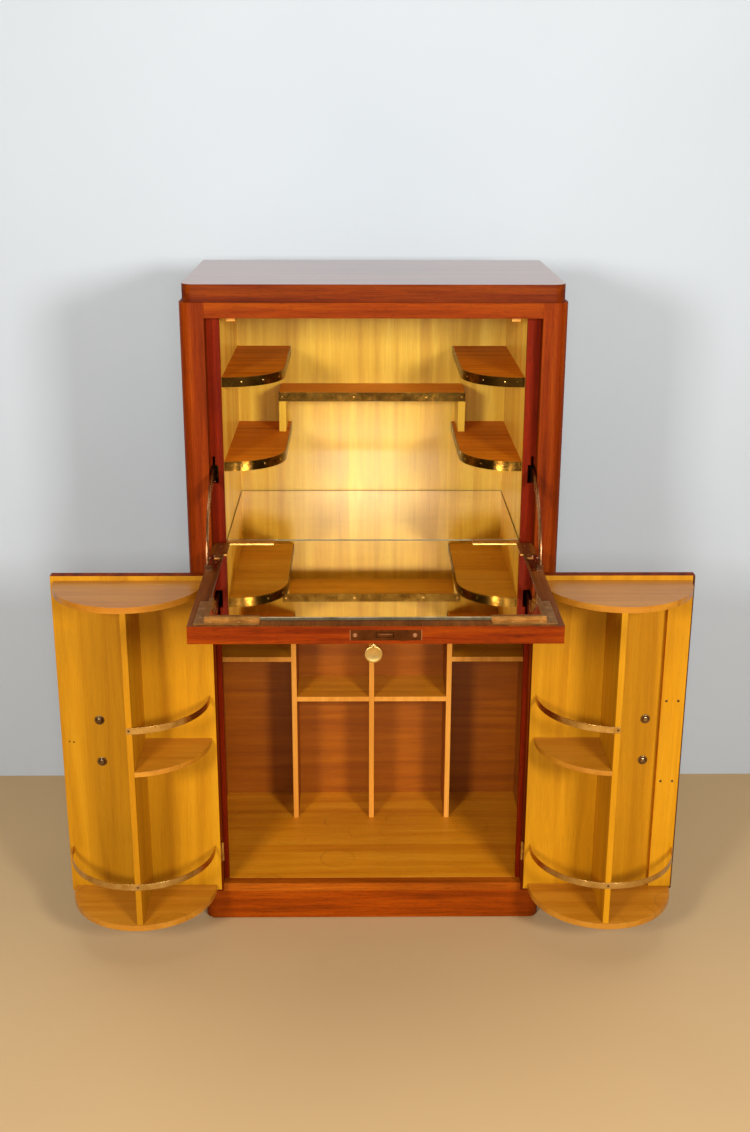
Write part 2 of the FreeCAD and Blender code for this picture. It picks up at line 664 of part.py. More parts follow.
band_radius = "rack_radius - brass_thick"
left_rack_ends = together(
    "left_rack_ends",
    rack_outline("rack_end_low", "rack_radius", "door_low", "rack_thick"),
    rack_outline("rack_end_high", "rack_radius", "rack_high_low", "rack_thick"),
)
mirrored("right_rack_ends", left_rack_ends)

# The divider stands between the rack ends and meets the inside of the rails
divider_x = "(rack_x - rack_divider_shift)"
divider_near = f"({divider_x} - rack_divider_thick / 2)"
divider_far = f"({divider_x} + rack_divider_thick / 2)"
divider_blank = board(
    "rack_divider_blank", "-" + divider_far, "-" + divider_near, "rack_y - rack_radius", "door_front",
    "rack_low_top", "rack_high_low",
)
divider_room = rack_outline("rack_divider_room", band_radius, "rack_low_top", "rack_high_low - rack_low_top")
left_rack_divider = common("left_rack_divider", divider_blank, divider_room)
mirrored("right_rack_divider", left_rack_divider)

# Quarter shelf on the hinge side of the divider
shelf_disc = rack_outline("rack_shelf_disc", "rack_radius", "rack_shelf_low", "rack_shelf_thick")
shelf_quarter = board(
    "rack_shelf_quarter", "-" + divider_near, "-door_near", "rack_y - rack_radius", "door_front",
    "rack_shelf_low", "rack_shelf_low + rack_shelf_thick",
)
left_rack_shelf = common("left_rack_shelf", shelf_disc, shelf_quarter)
mirrored("right_rack_shelf", left_rack_shelf)


def rack_band(name, low):
    """A flat brass band that follows the edge of the rack ends."""
    return cut(
        name, rack_outline(name + "_outer", "rack_radius", low, "rack_rail_height"),
        rack_outline(name + "_inner", band_radius, low, "rack_rail_height"),
    )


half_rail = rack_band("half_rail", "rack_rail_low")
quarter_rail = common("quarter_rail", rack_band("quarter_rail_whole", "rack_rail_high"), board(
    "quarter_rail_side", "-" + divider_far, "-door_near", "rack_y - rack_radius", "door_front",
    "rack_rail_high", "rack_rail_high + rack_rail_height",
))
left_rack_rails = together("left_rack_rails", half_rail, quarter_rail)
closing_far = "(door_far - closing_edge)"
closing_near = "(door_far - closing_edge - closing_width)"
closing_low = "rack_low_top + closing_gap"
closing_high = "rack_high_low - closing_gap"
closing_span = [closing_near, closing_far, "door_front - closing_thick", "door_front"]
right_half_rail = mirrored("right_half_rail", half_rail)
closing_clear = board("closing_clear", *closing_span, closing_low, closing_high)
together(
    "right_rack_rails", cut("right_half_rail_cut", right_half_rail, closing_clear),
    mirrored("right_quarter_rail", quarter_rail),
)
board("right_closing_stile", *closing_span, closing_low, closing_high)


# Handle: bar on two posts outside, posts run through the door to domed nuts inside
def left_handle_piece():
    bar = rod("handle_bar", "handle_radius", "handle_high - handle_low + 2 * handle_overhang", "-handle_x",
              "door_back + handle_reach", "handle_low - handle_overhang")
    solids = [bar]
    for end, level in (("low", "handle_low"), ("high", "handle_high")):
        solids.append(rod("handle_post_" + end, "handle_post", "handle_reach", "-handle_x", "door_back", level,
                          "back"))
    return joined("handle_outside", *solids)


handle_outside = left_handle_piece()
left_nuts = []
for end, level in (("low", "handle_low"), ("high", "handle_high")):
    dome = doc.addObject("Part::Cone", "handle_nut_" + end)
    dome.Placement = FreeCAD.Placement(FreeCAD.Vector(), axis_turn["back"])
    linked(dome, "Radius1", "nut_radius / 2")
    linked(dome, "Radius2", "nut_radius")
    linked(dome, "Height", "nut_height")
    left_nuts.append(placed(dome, "-handle_x", "door_front - nut_height", level))
left_handle = together("left_door_handle", handle_outside, *left_nuts)
mirrored("right_door_handle", left_handle)

# Flap panel: outline seen from the end, rounded nose about the pivot
key_slot_near = "(key_y - bit_thick / 2 - bolt_gap)"
key_slot_far = "(key_y + bit_thick / 2 + bolt_gap)"


def key_way(name, radius, low, high):
    """A keyhole: round part for the shank and a slot for the bit."""
    hole = rod(name + "_hole", radius, f"({high}) - ({low})", "key_x", "key_y", low)
    slot = board(name + "_slot", "key_x - key_radius - bit_length - bolt_gap", "key_x", key_slot_near,
                 key_slot_far, low, high)
    return joined(name, hole, slot)


flap_slab = board("flap_slab", "-flap_half", "flap_half", "flap_edge", "pivot_y", "flap_low", "flap_top")
flap_nose = rod("flap_nose", "flap_thick / 2", "2 * flap_half", "-flap_half", "pivot_y", "pivot_z", "right")
case_low_x = "(lock_x - case_length / 2)"
case_high_x = "(lock_x + case_length / 2)"
case_low = "(pivot_z - case_height / 2)"
case_high = "(pivot_z + case_height / 2)"
case_span = [case_low_x, case_high_x, "case_front", "case_front + case_depth", case_low, case_high]
face_span = [
    "lock_x - face_length / 2", "lock_x + face_length / 2", "flap_edge", "case_front",
    "pivot_z - face_height / 2", "pivot_z + face_height / 2",
]
stay_plate_far_x = "(flap_half - stay_plate_edge)"
foot_near = "(pivot_y - stay_outer)"
foot_far = "(pivot_y - stay_inner)"
stay_plate_span = [
    f"-{stay_plate_far_x}", f"stay_plate_width - {stay_plate_far_x}", f"{foot_near} - stay_plate_lap",
    f"{foot_near} - stay_plate_lap + stay_plate_length", "flap_top - stay_plate_thick", "flap_top",
]
left_plate_room = board("left_plate_room", *stay_plate_span)
left_pin_room = rod(
    "left_pin_room", "pivot_radius + running_fit", "pivot_length - flap_side_gap + 2 * bolt_gap", "-flap_half",
    "pivot_y", "pivot_z", "right",
)
flap_rooms = [
    board("case_room", *case_span),
    board("face_room", *face_span),
    key_way("flap_key_way", "key_hole_radius", "flap_low", case_low),
    left_plate_room,
    mirrored("right_plate_room", left_plate_room),
    left_pin_room,
    mirrored("right_pin_room", left_pin_room),
]
cut("flap_panel", joined("flap_whole", flap_slab, flap_nose), joined("flap_rooms", *flap_rooms))
board("flap_mirror", "-plate_half", "plate_half", "plate_low_y", "plate_high_y", "flap_top", "plate_top")


def side_bracket(name, near, far):
    """Flange, riser and lip along the left edge of the flap mirror."""
    return [
        board(name + "_flange", "-plate_half - brass_thick - bracket_flange", "-plate_half", near, far,
              "flap_top", "flap_top + brass_thick"),
        board(name + "_riser", "-plate_half - brass_thick", "-plate_half", near, far, "flap_top",
              "plate_top + brass_thick"),
        board(name + "_lip", "-plate_half", "bracket_lip - plate_half", near, far, "plate_top",
              "plate_top + brass_thick"),
    ]


corner_far_x = "(bracket_leg - plate_half)"
corner_outer = "(-plate_half - brass_thick - bracket_flange)"
corner_bracket = joined(
    "corner_bracket",
    *side_bracket("corner_side", "plate_low_y - brass_thick", "plate_low_y + bracket_leg"),
    board("corner_front_flange", corner_outer, corner_far_x, "plate_low_y - brass_thick - bracket_flange",
          "plate_low_y", "flap_top", "flap_top + brass_thick"),
    board("corner_front_riser", "-plate_half - brass_thick", corner_far_x, "plate_low_y - brass_thick",
          "plate_low_y", "flap_top", "plate_top + brass_thick"),
    board("corner_front_lip", "-plate_half", corner_far_x, "plate_low_y", "plate_low_y + bracket_lip",
          "plate_top", "plate_top + brass_thick"),
)
rear_bracket = joined(
    "rear_bracket",
    *side_bracket("rear_side", "plate_high_y - bracket_leg", "plate_high_y"),
    board("rear_lip", "-plate_half", corner_far_x, "plate_high_y - bracket_flange - bracket_lip", "plate_high_y",
          "plate_top", "plate_top + brass_thick"),
)
flange_x = "(-plate_half - brass_thick - bracket_flange / 2)"
flange_y = "(plate_low_y - brass_thick - bracket_flange / 2)"
screw_spots = [
    (flange_x, "plate_low_y + bracket_leg - bracket_screw_end"),
    (flange_x, "plate_high_y - bracket_screw_end"),
    (flange_x, "plate_high_y - bracket_leg + bracket_screw_end"),
    (f"{corner_far_x} - bracket_screw_end", flange_y),
    (flange_x, flange_y),
]
bracket_screws = [
    rod("bracket_screw_" + str(number), "bracket_screw", "bracket_screw_height", x, y, "flap_top + brass_thick")
    for number, (x, y) in enumerate(screw_spots)
]
left_brackets = [corner_bracket, rear_bracket, *bracket_screws]
right_brackets = [mirrored(item.Label + "_right", item) for item in left_brackets]
together("mirror_brackets", *left_brackets, *right_brackets)

# Quadrant stay: ring part about the pivot, foot, base plate and hook behind the strip
stay_low_x = "(-stay_x)"
ring = cut(
    "stay_ring",
    rod("stay_outer_disc", "stay_outer", "stay_thick", stay_low_x, "pivot_y", "pivot_z", "right"),
    rod("stay_inner_disc", "stay_inner", "stay_thick", stay_low_x, "pivot_y", "pivot_z", "right"),
)
tail_y = "(lining_front + hook_clear + stay_tail)"
ring_part = common("stay_ring_part", ring, board(
    "stay_window", stay_low_x, f"{stay_low_x} + stay_thick", foot_near, tail_y, "flap_top",
    "pivot_z + stay_outer",
))
stay_foot = board(
    "stay_foot", "-flap_half", "foot_width - flap_half", foot_near, foot_far, "flap_top",
    "flap_top + foot_height",
)
stay_plate = board("stay_plate", *stay_plate_span)
stay_hook = board(
    "stay_hook", stay_low_x, f"{stay_low_x} + stay_thick", "lining_front + hook_clear", tail_y,
    "pivot_z + stay_inner - hook_drop", "pivot_z + stay_inner + hook_drop",
)
left_quadrant = joined("left_quadrant", ring_part, stay_foot, stay_plate, stay_hook)
mirrored("right_quadrant", left_quadrant)

# Lock: case with a channel for the bolt and a room for the key bit
channel_far = "(flap_edge + bolt_length + bolt_gap)"
channel = board(
    "bolt_channel", f"{bolt_low_x} - bolt_gap", f"{bolt_high_x} + bolt_gap", "flap_edge", channel_far,
    "pivot_z - bolt_height / 2 - bolt_gap", "pivot_z + bolt_height / 2 + bolt_gap",
)
bit_room = rod("bit_room", "key_room", "case_height - 2 * case_wall", "key_x", "key_y", f"{case_low} + case_wall")
case_rooms = joined(
    "case_rooms", channel, bit_room,
    key_way("case_key_way", "key_radius + running_fit", case_low, f"{case_low} + case_wall"),
)
cut("lock_case", board("case_block", *case_span), case_rooms)
face_window = board(
    "face_window", f"{bolt_low_x} - bolt_gap", f"{bolt_high_x} + bolt_gap", "flap_edge", "case_front",
    "pivot_z - bolt_height / 2 - bolt_gap", "pivot_z + bolt_height / 2 + bolt_gap",
)
face_plate = cut("face_plate", board("face_blank", *face_span), face_window)
escutcheon = cut(
    "escutcheon",
    rod("escutcheon_disc", "escutcheon_radius", "brass_thick", "key_x", "key_y", "flap_low - brass_thick"),
    key_way("escutcheon_way", "key_hole_radius", "flap_low - brass_thick", "flap_low"),
)
together("lock_trim", face_plate, escutcheon)
board(
    "lock_bolt", bolt_low_x, bolt_high_x, "flap_edge", "flap_edge + bolt_length",
    "pivot_z - bolt_height / 2", "pivot_z + bolt_height / 2",
)

# Key with a round bow below the flap
bow_z = "(flap_low - bow_drop)"
bit_low = f"({case_low} + case_wall + bolt_gap)"
joined(
    "key",
    rod("key_shank", "key_radius", f"{bit_low} + bit_height - {bow_z}", "key_x", "key_y", bow_z),
    rod("key_bow", "bow_radius", "bow_thick", "key_x", "key_y - bow_thick / 2", bow_z, "back"),
    board("key_bit", "key_x - key_radius - bit_length / 2", "key_x", "key_y - bit_thick / 2",
          "key_y + bit_thick / 2", bit_low, bit_low + " + bit_height"),
)

node_names = """
top_panel top_rail strike_plate left_post right_post left_side right_side back_panel upper_ceiling
upper_floor floor_mirror left_lining right_lining stop_strips middle_rail lower_ceiling floor_bearers
bottom_board floor_lipping plinth_front plinth_sides glides left_lower_shelf left_upper_shelf
right_lower_shelf right_upper_shelf middle_shelf shelf_posts shelf_edging cell_dividers cell_shelf
bay_shelves flap_stops flap_pivots carcass_hinges flap_panel flap_mirror mirror_brackets left_quadrant
right_quadrant lock_case lock_trim key lock_bolt left_door_panel left_rack_ends left_rack_divider
left_rack_shelf left_rack_rails left_door_handle left_door_hinges right_door_panel right_rack_ends
right_rack_divider right_rack_shelf right_rack_rails right_door_handle right_door_hinges
right_closing_stile
""".split()

doc.recompute()
for item in doc.Objects:
    if "Invalid" in item.State or "Error" in item.State:
        raise RuntimeError(item.Label + " did not rebuild")
os.makedirs("parts", exist_ok=True)
for name in node_names:
    shape = doc.getObject(name).Shape
    if shape.isNull() or not shape.isValid():
        raise RuntimeError(name + " has no valid shape")
    shape.exportStep("parts/" + name + ".step")
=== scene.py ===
import bpy
import numpy as np
from mathutils import Matrix, Vector


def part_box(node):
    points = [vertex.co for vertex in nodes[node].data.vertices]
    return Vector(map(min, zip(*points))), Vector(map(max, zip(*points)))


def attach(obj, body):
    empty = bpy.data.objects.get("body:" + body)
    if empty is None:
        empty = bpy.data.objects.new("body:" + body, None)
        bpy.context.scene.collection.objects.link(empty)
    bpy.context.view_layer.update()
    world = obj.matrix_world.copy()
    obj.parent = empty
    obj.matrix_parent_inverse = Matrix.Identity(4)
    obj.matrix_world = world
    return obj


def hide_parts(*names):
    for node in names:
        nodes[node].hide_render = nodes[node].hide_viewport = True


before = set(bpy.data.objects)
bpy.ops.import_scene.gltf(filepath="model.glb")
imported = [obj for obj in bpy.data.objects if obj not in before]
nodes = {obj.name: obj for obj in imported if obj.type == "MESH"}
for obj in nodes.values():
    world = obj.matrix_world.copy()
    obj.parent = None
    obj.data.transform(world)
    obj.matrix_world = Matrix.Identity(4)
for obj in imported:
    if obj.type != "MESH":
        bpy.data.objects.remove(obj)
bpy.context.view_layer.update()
mm = 0.001

# Display colours 0-255 become the linear values that a shader takes:
# a straight line up to the knee, and ((value + offset) / scale) to a power above it.
displayCurve = {"white": 255, "knee": 0.04045, "slope": 12.92, "offset": 0.055, "scale": 1.055,
                "power": 2.4}


def colour(red, green, blue):
    curve = displayCurve
    shown = np.array([red, green, blue]) / curve["white"]
    bent = ((shown + curve["offset"]) / curve["scale"]) ** curve["power"]
    return (*np.where(shown <= curve["knee"], shown / curve["slope"], bent).tolist(), 1.0)


def darker(tone, share):
    return colour(*[part * share for part in tone])


halfway = 0.5
mixSockets = {"amount": 0, "first": 6, "second": 7, "result": 2}  # a Mix node's sockets for colours


# A material, and short ways to add and join its nodes.
class Shader:
    def __init__(self, name):
        self.material = bpy.data.materials.new(name)
        self.material.use_nodes = True
        self.tree = self.material.node_tree
        self.surface = self.tree.nodes["Principled BSDF"]
        self.place = self.add("ShaderNodeTexCoord").outputs["Object"]

    # Each input gets a number, a colour or another node's output.
    def fill(self, node, inputs):
        for socket, value in inputs.items():
            if isinstance(value, bpy.types.NodeSocket):
                self.tree.links.new(value, node.inputs[socket])
            else:
                node.inputs[socket].default_value = value
        return node

    def add(self, kind, inputs=None, **settings):
        node = self.tree.nodes.new(kind)
        for setting, value in settings.items():
            setattr(node, setting, value)
        return self.fill(node, inputs or {})

    def stretched(self, scale, shift=(0, 0, 0)):
        mapping = self.add("ShaderNodeMapping", {"Vector": self.place, "Scale": scale, "Location": shift})
        return mapping.outputs["Vector"]

    def even(self, scale):
        return self.stretched((scale, scale, scale))

    def noise(self, vector, detail, rough=0.55, twist=0.0):
        node = self.add("ShaderNodeTexNoise", {"Vector": vector, "Scale": 1.0, "Detail": detail,
                                               "Roughness": rough, "Distortion": twist})
        return node.outputs["Fac"]

    def ramp(self, value, spots, tones):
        node = self.add("ShaderNodeValToRGB", {"Fac": value})
        stops = node.color_ramp.elements
        while len(stops) < len(spots):
            stops.new(halfway)
        for stop, spot, tone in zip(stops, spots, tones):
            stop.position = spot
            stop.color = tone
        return node.outputs["Color"]

    def mixed(self, amount, first, second, how="MIX"):
        inputs = {mixSockets["amount"]: amount, mixSockets["first"]: first, mixSockets["second"]: second}
        node = self.add("ShaderNodeMix", inputs, data_type="RGBA", blend_type=how)
        return node.outputs[mixSockets["result"]]

    def ranged(self, value, low, high, fromLow=0.0, fromHigh=1.0):
        node = self.add("ShaderNodeMapRange", {"Value": value, "From Min": fromLow, "From Max": fromHigh,
                                               "To Min": low, "To Max": high})
        return node.outputs["Result"]

    def product(self, first, second):
        return self.add("ShaderNodeMath", {0: first, 1: second}, operation="MULTIPLY").outputs[0]

    def bumped(self, height, strength, depth):
        bump = self.add("ShaderNodeBump", {"Height": height, "Strength": strength, "Distance": depth})
        self.fill(self.surface, {"Normal": bump.outputs["Normal"]})


softEdges = {"line": 0.2 * mm, "level": 1 * mm, "ellipse": (0.9, 1.1)}  # how sharply painted places end


# 1 where the place on an axis lies beyond a limit, on both sides if wished.
def beyond(shader, axis, limit, both=False):
    split = shader.add("ShaderNodeSeparateXYZ", {0: shader.place})
    reach = split.outputs[axis]
    if both:
        reach = shader.add("ShaderNodeMath", {0: reach}, operation="ABSOLUTE").outputs[0]
    return shader.ranged(reach, 0.0, 1.0, limit - softEdges["line"], limit + softEdges["line"])


# 1 inside an ellipse: the length of the offset divided by the reach. An axis of no reach doesn't count.
def within(shader, middle, reach):
    squeeze = [1 / part if part else 0.0 for part in reach]
    offset = shader.add("ShaderNodeVectorMath", {0: shader.place, 1: middle}, operation="SUBTRACT")
    scaled = shader.add("ShaderNodeVectorMath", {0: offset.outputs[0], 1: squeeze}, operation="MULTIPLY")
    length = shader.add("ShaderNodeVectorMath", {0: scaled.outputs[0]}, operation="LENGTH")
    return shader.ranged(length.outputs["Value"], 1.0, 0.0, *softEdges["ellipse"])


crossesGrain = {"x": (0, 1, 1), "y": (1, 0, 1), "z": (1, 1, 0)}


# Scale per axis: 'across' on the two axes that cross the grain, 'along' on the grain's own axis.
def grainScale(grain, across, along):
    return tuple(across if crossing else along for crossing in crossesGrain[grain])


# Rings left by glasses: how many per metre, radius and fades as shares of their spacing, how they break up.
ringLook = {"perMetre": 7.0, "shift": (0.3, 0.1, 0), "radius": 0.25, "outerFade": 0.03, "innerFade": 0.02,
            "breakScale": 16, "breakDetail": 3, "breakLimits": (0.42, 0.60), "strength": 0.22,
            "tone": (70, 26, 0)}


# A thin band of one distance round scattered points, broken up by noise.
def ringMarks(wood, base):
    look = ringLook
    flat = wood.stretched((1, 1, 1), look["shift"])
    spots = wood.add("ShaderNodeTexVoronoi", {"Vector": flat, "Scale": look["perMetre"]},
                     voronoi_dimensions="2D")
    distance = spots.outputs["Distance"]
    outer = wood.ranged(distance, 0.0, 1.0, look["radius"] - look["outerFade"], look["radius"])
    inner = wood.ranged(distance, 1.0, 0.0, look["radius"], look["radius"] + look["innerFade"])
    patches = wood.noise(wood.even(look["breakScale"]), look["breakDetail"])
    broken = wood.ranged(patches, 0.0, look["strength"], *look["breakLimits"])
    return wood.mixed(wood.product(wood.product(outer, inner), broken), base, colour(*look["tone"]))


white = (1, 1, 1, 1)
woodLook = {
    "figure": {"spots": (0.30, 0.50, 0.72), "alongShare": 0.045, "detail": 5, "rough": 0.6},
    "fibres": {"spots": (0.32, 0.60), "across": 620, "along": 16, "detail": 3, "rough": 0.7},
    "drift": {"spots": (0.3, 0.7), "scale": (2.3, 2.3, 1.7), "detail": 2, "share": 0.8,
              "tones": [(0.80, 0.78, 0.74, 1), (1.08, 1.06, 1.02, 1)]},
    "pores": {"limits": (0.62, 0.70), "across": 1500, "along": 60, "detail": 1, "darkShare": 0.45},
}


# Broad figure times fine fibres times a slow drift of tone, with dark pores; returns colour and fibres.
# tones are dark, middle and light; figure is streaks per metre; flame bends them; fibre is their contrast.
def woodTone(wood, tones, grain, shift=(0, 0, 0), figure=45, flame=0.0, fibre=0.35, pore=0.6):
    broadLook, fineLook, driftLook, poreLook = woodLook.values()
    streaks = wood.stretched(grainScale(grain, figure, figure * broadLook["alongShare"]), shift)
    broad = wood.noise(streaks, broadLook["detail"], broadLook["rough"], flame)
    base = wood.ramp(broad, broadLook["spots"], [colour(*tone) for tone in tones])
    threads = wood.stretched(grainScale(grain, fineLook["across"], fineLook["along"]), shift)
    fine = wood.noise(threads, fineLook["detail"], fineLook["rough"])
    fibreTone = wood.ramp(fine, fineLook["spots"], [(1 - fibre, 1 - fibre, 1 - fibre, 1), white])
    base = wood.mixed(1.0, base, fibreTone, "MULTIPLY")
    slow = wood.noise(wood.stretched(driftLook["scale"], shift), driftLook["detail"])
    driftTone = wood.ramp(slow, driftLook["spots"], driftLook["tones"])
    base = wood.mixed(driftLook["share"], base, driftTone, "MULTIPLY")
    short = wood.stretched(grainScale(grain, poreLook["across"], poreLook["along"]), shift)
    dots = wood.noise(short, poreLook["detail"])
    poreMask = wood.ranged(dots, 0.0, 1.0, *poreLook["limits"])
    poreTone = wood.mixed(pore, base, darker(tones[0], poreLook["darkShare"]))
    return wood.mixed(poreMask, base, poreTone), fine


varnishLook = {"duller": 0.12, "glossier": 0.05, "coatedRelief": 0.10, "openRelief": 0.18,
               "reliefDepth": 0.6 * mm}


# Roughness follows the fibres about the given gloss; coat, coatIndex and haze are the varnish on top.
def varnished(wood, base, fine, gloss, coat=0.0, sheen=0.30, coatIndex=1.5, haze=0.16):
    look = varnishLook
    rough = wood.ranged(fine, gloss + look["duller"], gloss - look["glossier"])
    wood.fill(wood.surface, {"Base Color": base, "Roughness": rough, "Specular IOR Level": sheen,
                             "Coat Weight": coat, "Coat Roughness": haze, "Coat IOR": coatIndex})
    wood.bumped(fine, look["coatedRelief"] if coat else look["openRelief"], look["reliefDepth"])
    return wood.material


# Varnished wood; rings adds marks of glasses, border paints places beyond a limit in another tone.
def woodFinish(name, figure, varnish, rings=False, border=()):
    wood = Shader(name)
    base, fine = woodTone(wood, **figure)
    if rings:
        base = ringMarks(wood, base)
    for axis, limit, both, tone in border:
        base = wood.mixed(beyond(wood, axis, limit, both), base, colour(*tone))
    return varnished(wood, base, fine, **varnish)


# One board behind two compartments: the upper wood above a level, the lower one with little coat below it.
def twoZoneFinish(name, level, upper, lower, lowerCoat, varnish):
    wood = Shader(name)
    upperTone, fine = woodTone(wood, **upper)
    lowerTone = woodTone(wood, **lower)[0]
    height = wood.add("ShaderNodeSeparateXYZ", {0: wood.place}).outputs["Z"]
    step = (level - softEdges["level"], level + softEdges["level"])
    above = wood.ranged(height, 0.0, 1.0, *step)
    material = varnished(wood, wood.mixed(above, lowerTone, upperTone), fine, **varnish)
    wood.fill(wood.surface, {"Coat Weight": wood.ranged(height, lowerCoat, varnish["coat"], *step)})
    return material


metalLook = {
    "patches": {"spots": (0.30, 0.48, 0.70), "scale": 38, "detail": 6, "rough": 0.65},
    "specks": {"limits": (0.60, 0.72), "scale": 420, "detail": 2, "darkShare": 0.5},
    "polish": {"limits": (0.25, 0.75), "duller": 0.14, "brighter": 0.04},
    "scratches": {"direction": "x", "across": 1800, "along": 30, "detail": 2, "strength": 0.15,
                  "depth": 0.2 * mm},
}


# Solid metal with tarnish patches, specks, fine brushed lines and uneven polish.
# wornEnds are bright beyond a reach each side of a middle; marks are painted ellipses.
def metalFinish(name, tones, rough, specks=0.5, wornEnds=None, marks=()):
    patchLook, speckLook, polishLook, scratchLook = metalLook.values()
    metal = Shader(name)
    patch = metal.noise(metal.even(patchLook["scale"]), patchLook["detail"], patchLook["rough"])
    base = metal.ramp(patch, patchLook["spots"], [colour(*tone) for tone in tones])
    dots = metal.noise(metal.even(speckLook["scale"]), speckLook["detail"])
    speckMask = metal.ranged(dots, 0.0, specks, *speckLook["limits"])
    base = metal.mixed(speckMask, base, darker(tones[0], speckLook["darkShare"]))
    if wornEnds:
        middle, reach, bright = wornEnds
        base = metal.mixed(beyond(metal, "X", middle + reach), base, colour(*bright))
        base = metal.mixed(beyond(metal, "X", middle - reach), colour(*bright), base)
    for middle, reach, tone in marks:
        base = metal.mixed(within(metal, middle, reach), base, colour(*tone))
    uneven = metal.ranged(patch, rough + polishLook["duller"], rough - polishLook["brighter"],
                          *polishLook["limits"])
    metal.fill(metal.surface, {"Base Color": base, "Metallic": 1.0, "Roughness": uneven})
    brushed = grainScale(scratchLook["direction"], scratchLook["across"], scratchLook["along"])
    lines = metal.noise(metal.stretched(brushed), scratchLook["detail"])
    metal.bumped(lines, scratchLook["strength"], scratchLook["depth"])
    return metal.material


smearLook = {"scale": (9, 14, 9), "detail": 5, "rough": 0.7, "twist": 0.6, "spots": (0.3, 0.7),
             "lighter": 14, "cloud": 0.045, "cloudLimits": (0.35, 0.75), "groundTone": (116, 92, 44)}


# Silvered glass: almost clean mirror with faint smears, and a ground border beyond the given limits.
def mirrorFinish(name, tone, rough, ground=()):
    look = smearLook
    glass = Shader(name)
    smear = glass.noise(glass.stretched(look["scale"]), look["detail"], look["rough"], look["twist"])
    lighter = [min(displayCurve["white"], part + look["lighter"]) for part in tone]
    base = glass.ramp(smear, look["spots"], [colour(*tone), colour(*lighter)])
    for axis, limit, both in ground:
        base = glass.mixed(beyond(glass, axis, limit, both), base, colour(*look["groundTone"]))
    cloudy = glass.ranged(smear, rough, rough + look["cloud"], *look["cloudLimits"])
    glass.fill(glass.surface, {"Base Color": base, "Metallic": 1.0, "Roughness": cloudy})
    return glass.material


print("stage: wood finishes")
redTones = [(88, 25, 0), (124, 42, 0), (150, 62, 0)]
goldTones = [(190, 140, 22), (212, 166, 38), (230, 192, 66)]
# Side linings: the back's golden wood in brighter tones, as painted light that lifts the shade on the
# sides.
sidePaintedLightTones = [(230, 168, 42), (248, 198, 68), (255, 218, 98)]
liningTones = [(138, 66, 0), (154, 78, 0), (168, 90, 4)]
acrossTones = [(100, 32, 0), (136, 50, 0), (160, 70, 0)]
slabTones = [(104, 44, 18), (134, 66, 32), (156, 88, 48)]
slabEdgeTones = [(80, 22, 0), (108, 36, 0), (132, 54, 0)]
flapTones = [(84, 38, 6), (108, 54, 12), (130, 72, 20)]
flapEdgeTones = [(94, 26, 0), (126, 42, 0), (150, 60, 0)]
stripTones = [(96, 18, 0), (126, 28, 0), (148, 46, 4)]
plinthTones = [(118, 44, 0), (156, 62, 0), (176, 80, 4)]
lippingTones = [(140, 60, 0), (168, 78, 4), (190, 96, 12)]
shelfTones = [(180, 92, 8), (210, 118, 16), (230, 142, 30)]
middleShelfTones = [(196, 110, 14), (224, 138, 24), (240, 162, 44)]
underTones = [(222, 160, 48), (240, 182, 64), (250, 200, 84)]
doorTones = [(172, 110, 2), (188, 126, 6), (200, 138, 14)]
rackTones = [(166, 98, 6), (182, 114, 16), (198, 132, 30)]
frontTones = [(200, 122, 28), (218, 142, 46), (230, 160, 64)]
floorTones = [(196, 112, 4), (214, 132, 12), (228, 150, 26)]
plywoodTones = [(146, 108, 62), (178, 138, 86), (200, 164, 112)]
feltTones = [(34, 26, 20), (48, 38, 30), (62, 50, 40)]
goldFigure = {"tones": goldTones, "grain": "z", "figure": 34, "flame": 0.5, "fibre": 0.12, "pore": 0.2}
liningFigure = {"tones": liningTones, "grain": "x", "shift": (0.4, 0.7, 0.1), "figure": 60, "flame": 0.4,
                "fibre": 0.16, "pore": 0.3}
redVarnish = {"gloss": 0.50, "sheen": 0.05}
brownVarnish = {"gloss": 0.48, "sheen": 0.06}
goldVarnish = {"gloss": 0.36, "coat": 0.15}
shelfVarnish = {"gloss": 0.46, "sheen": 0.04}

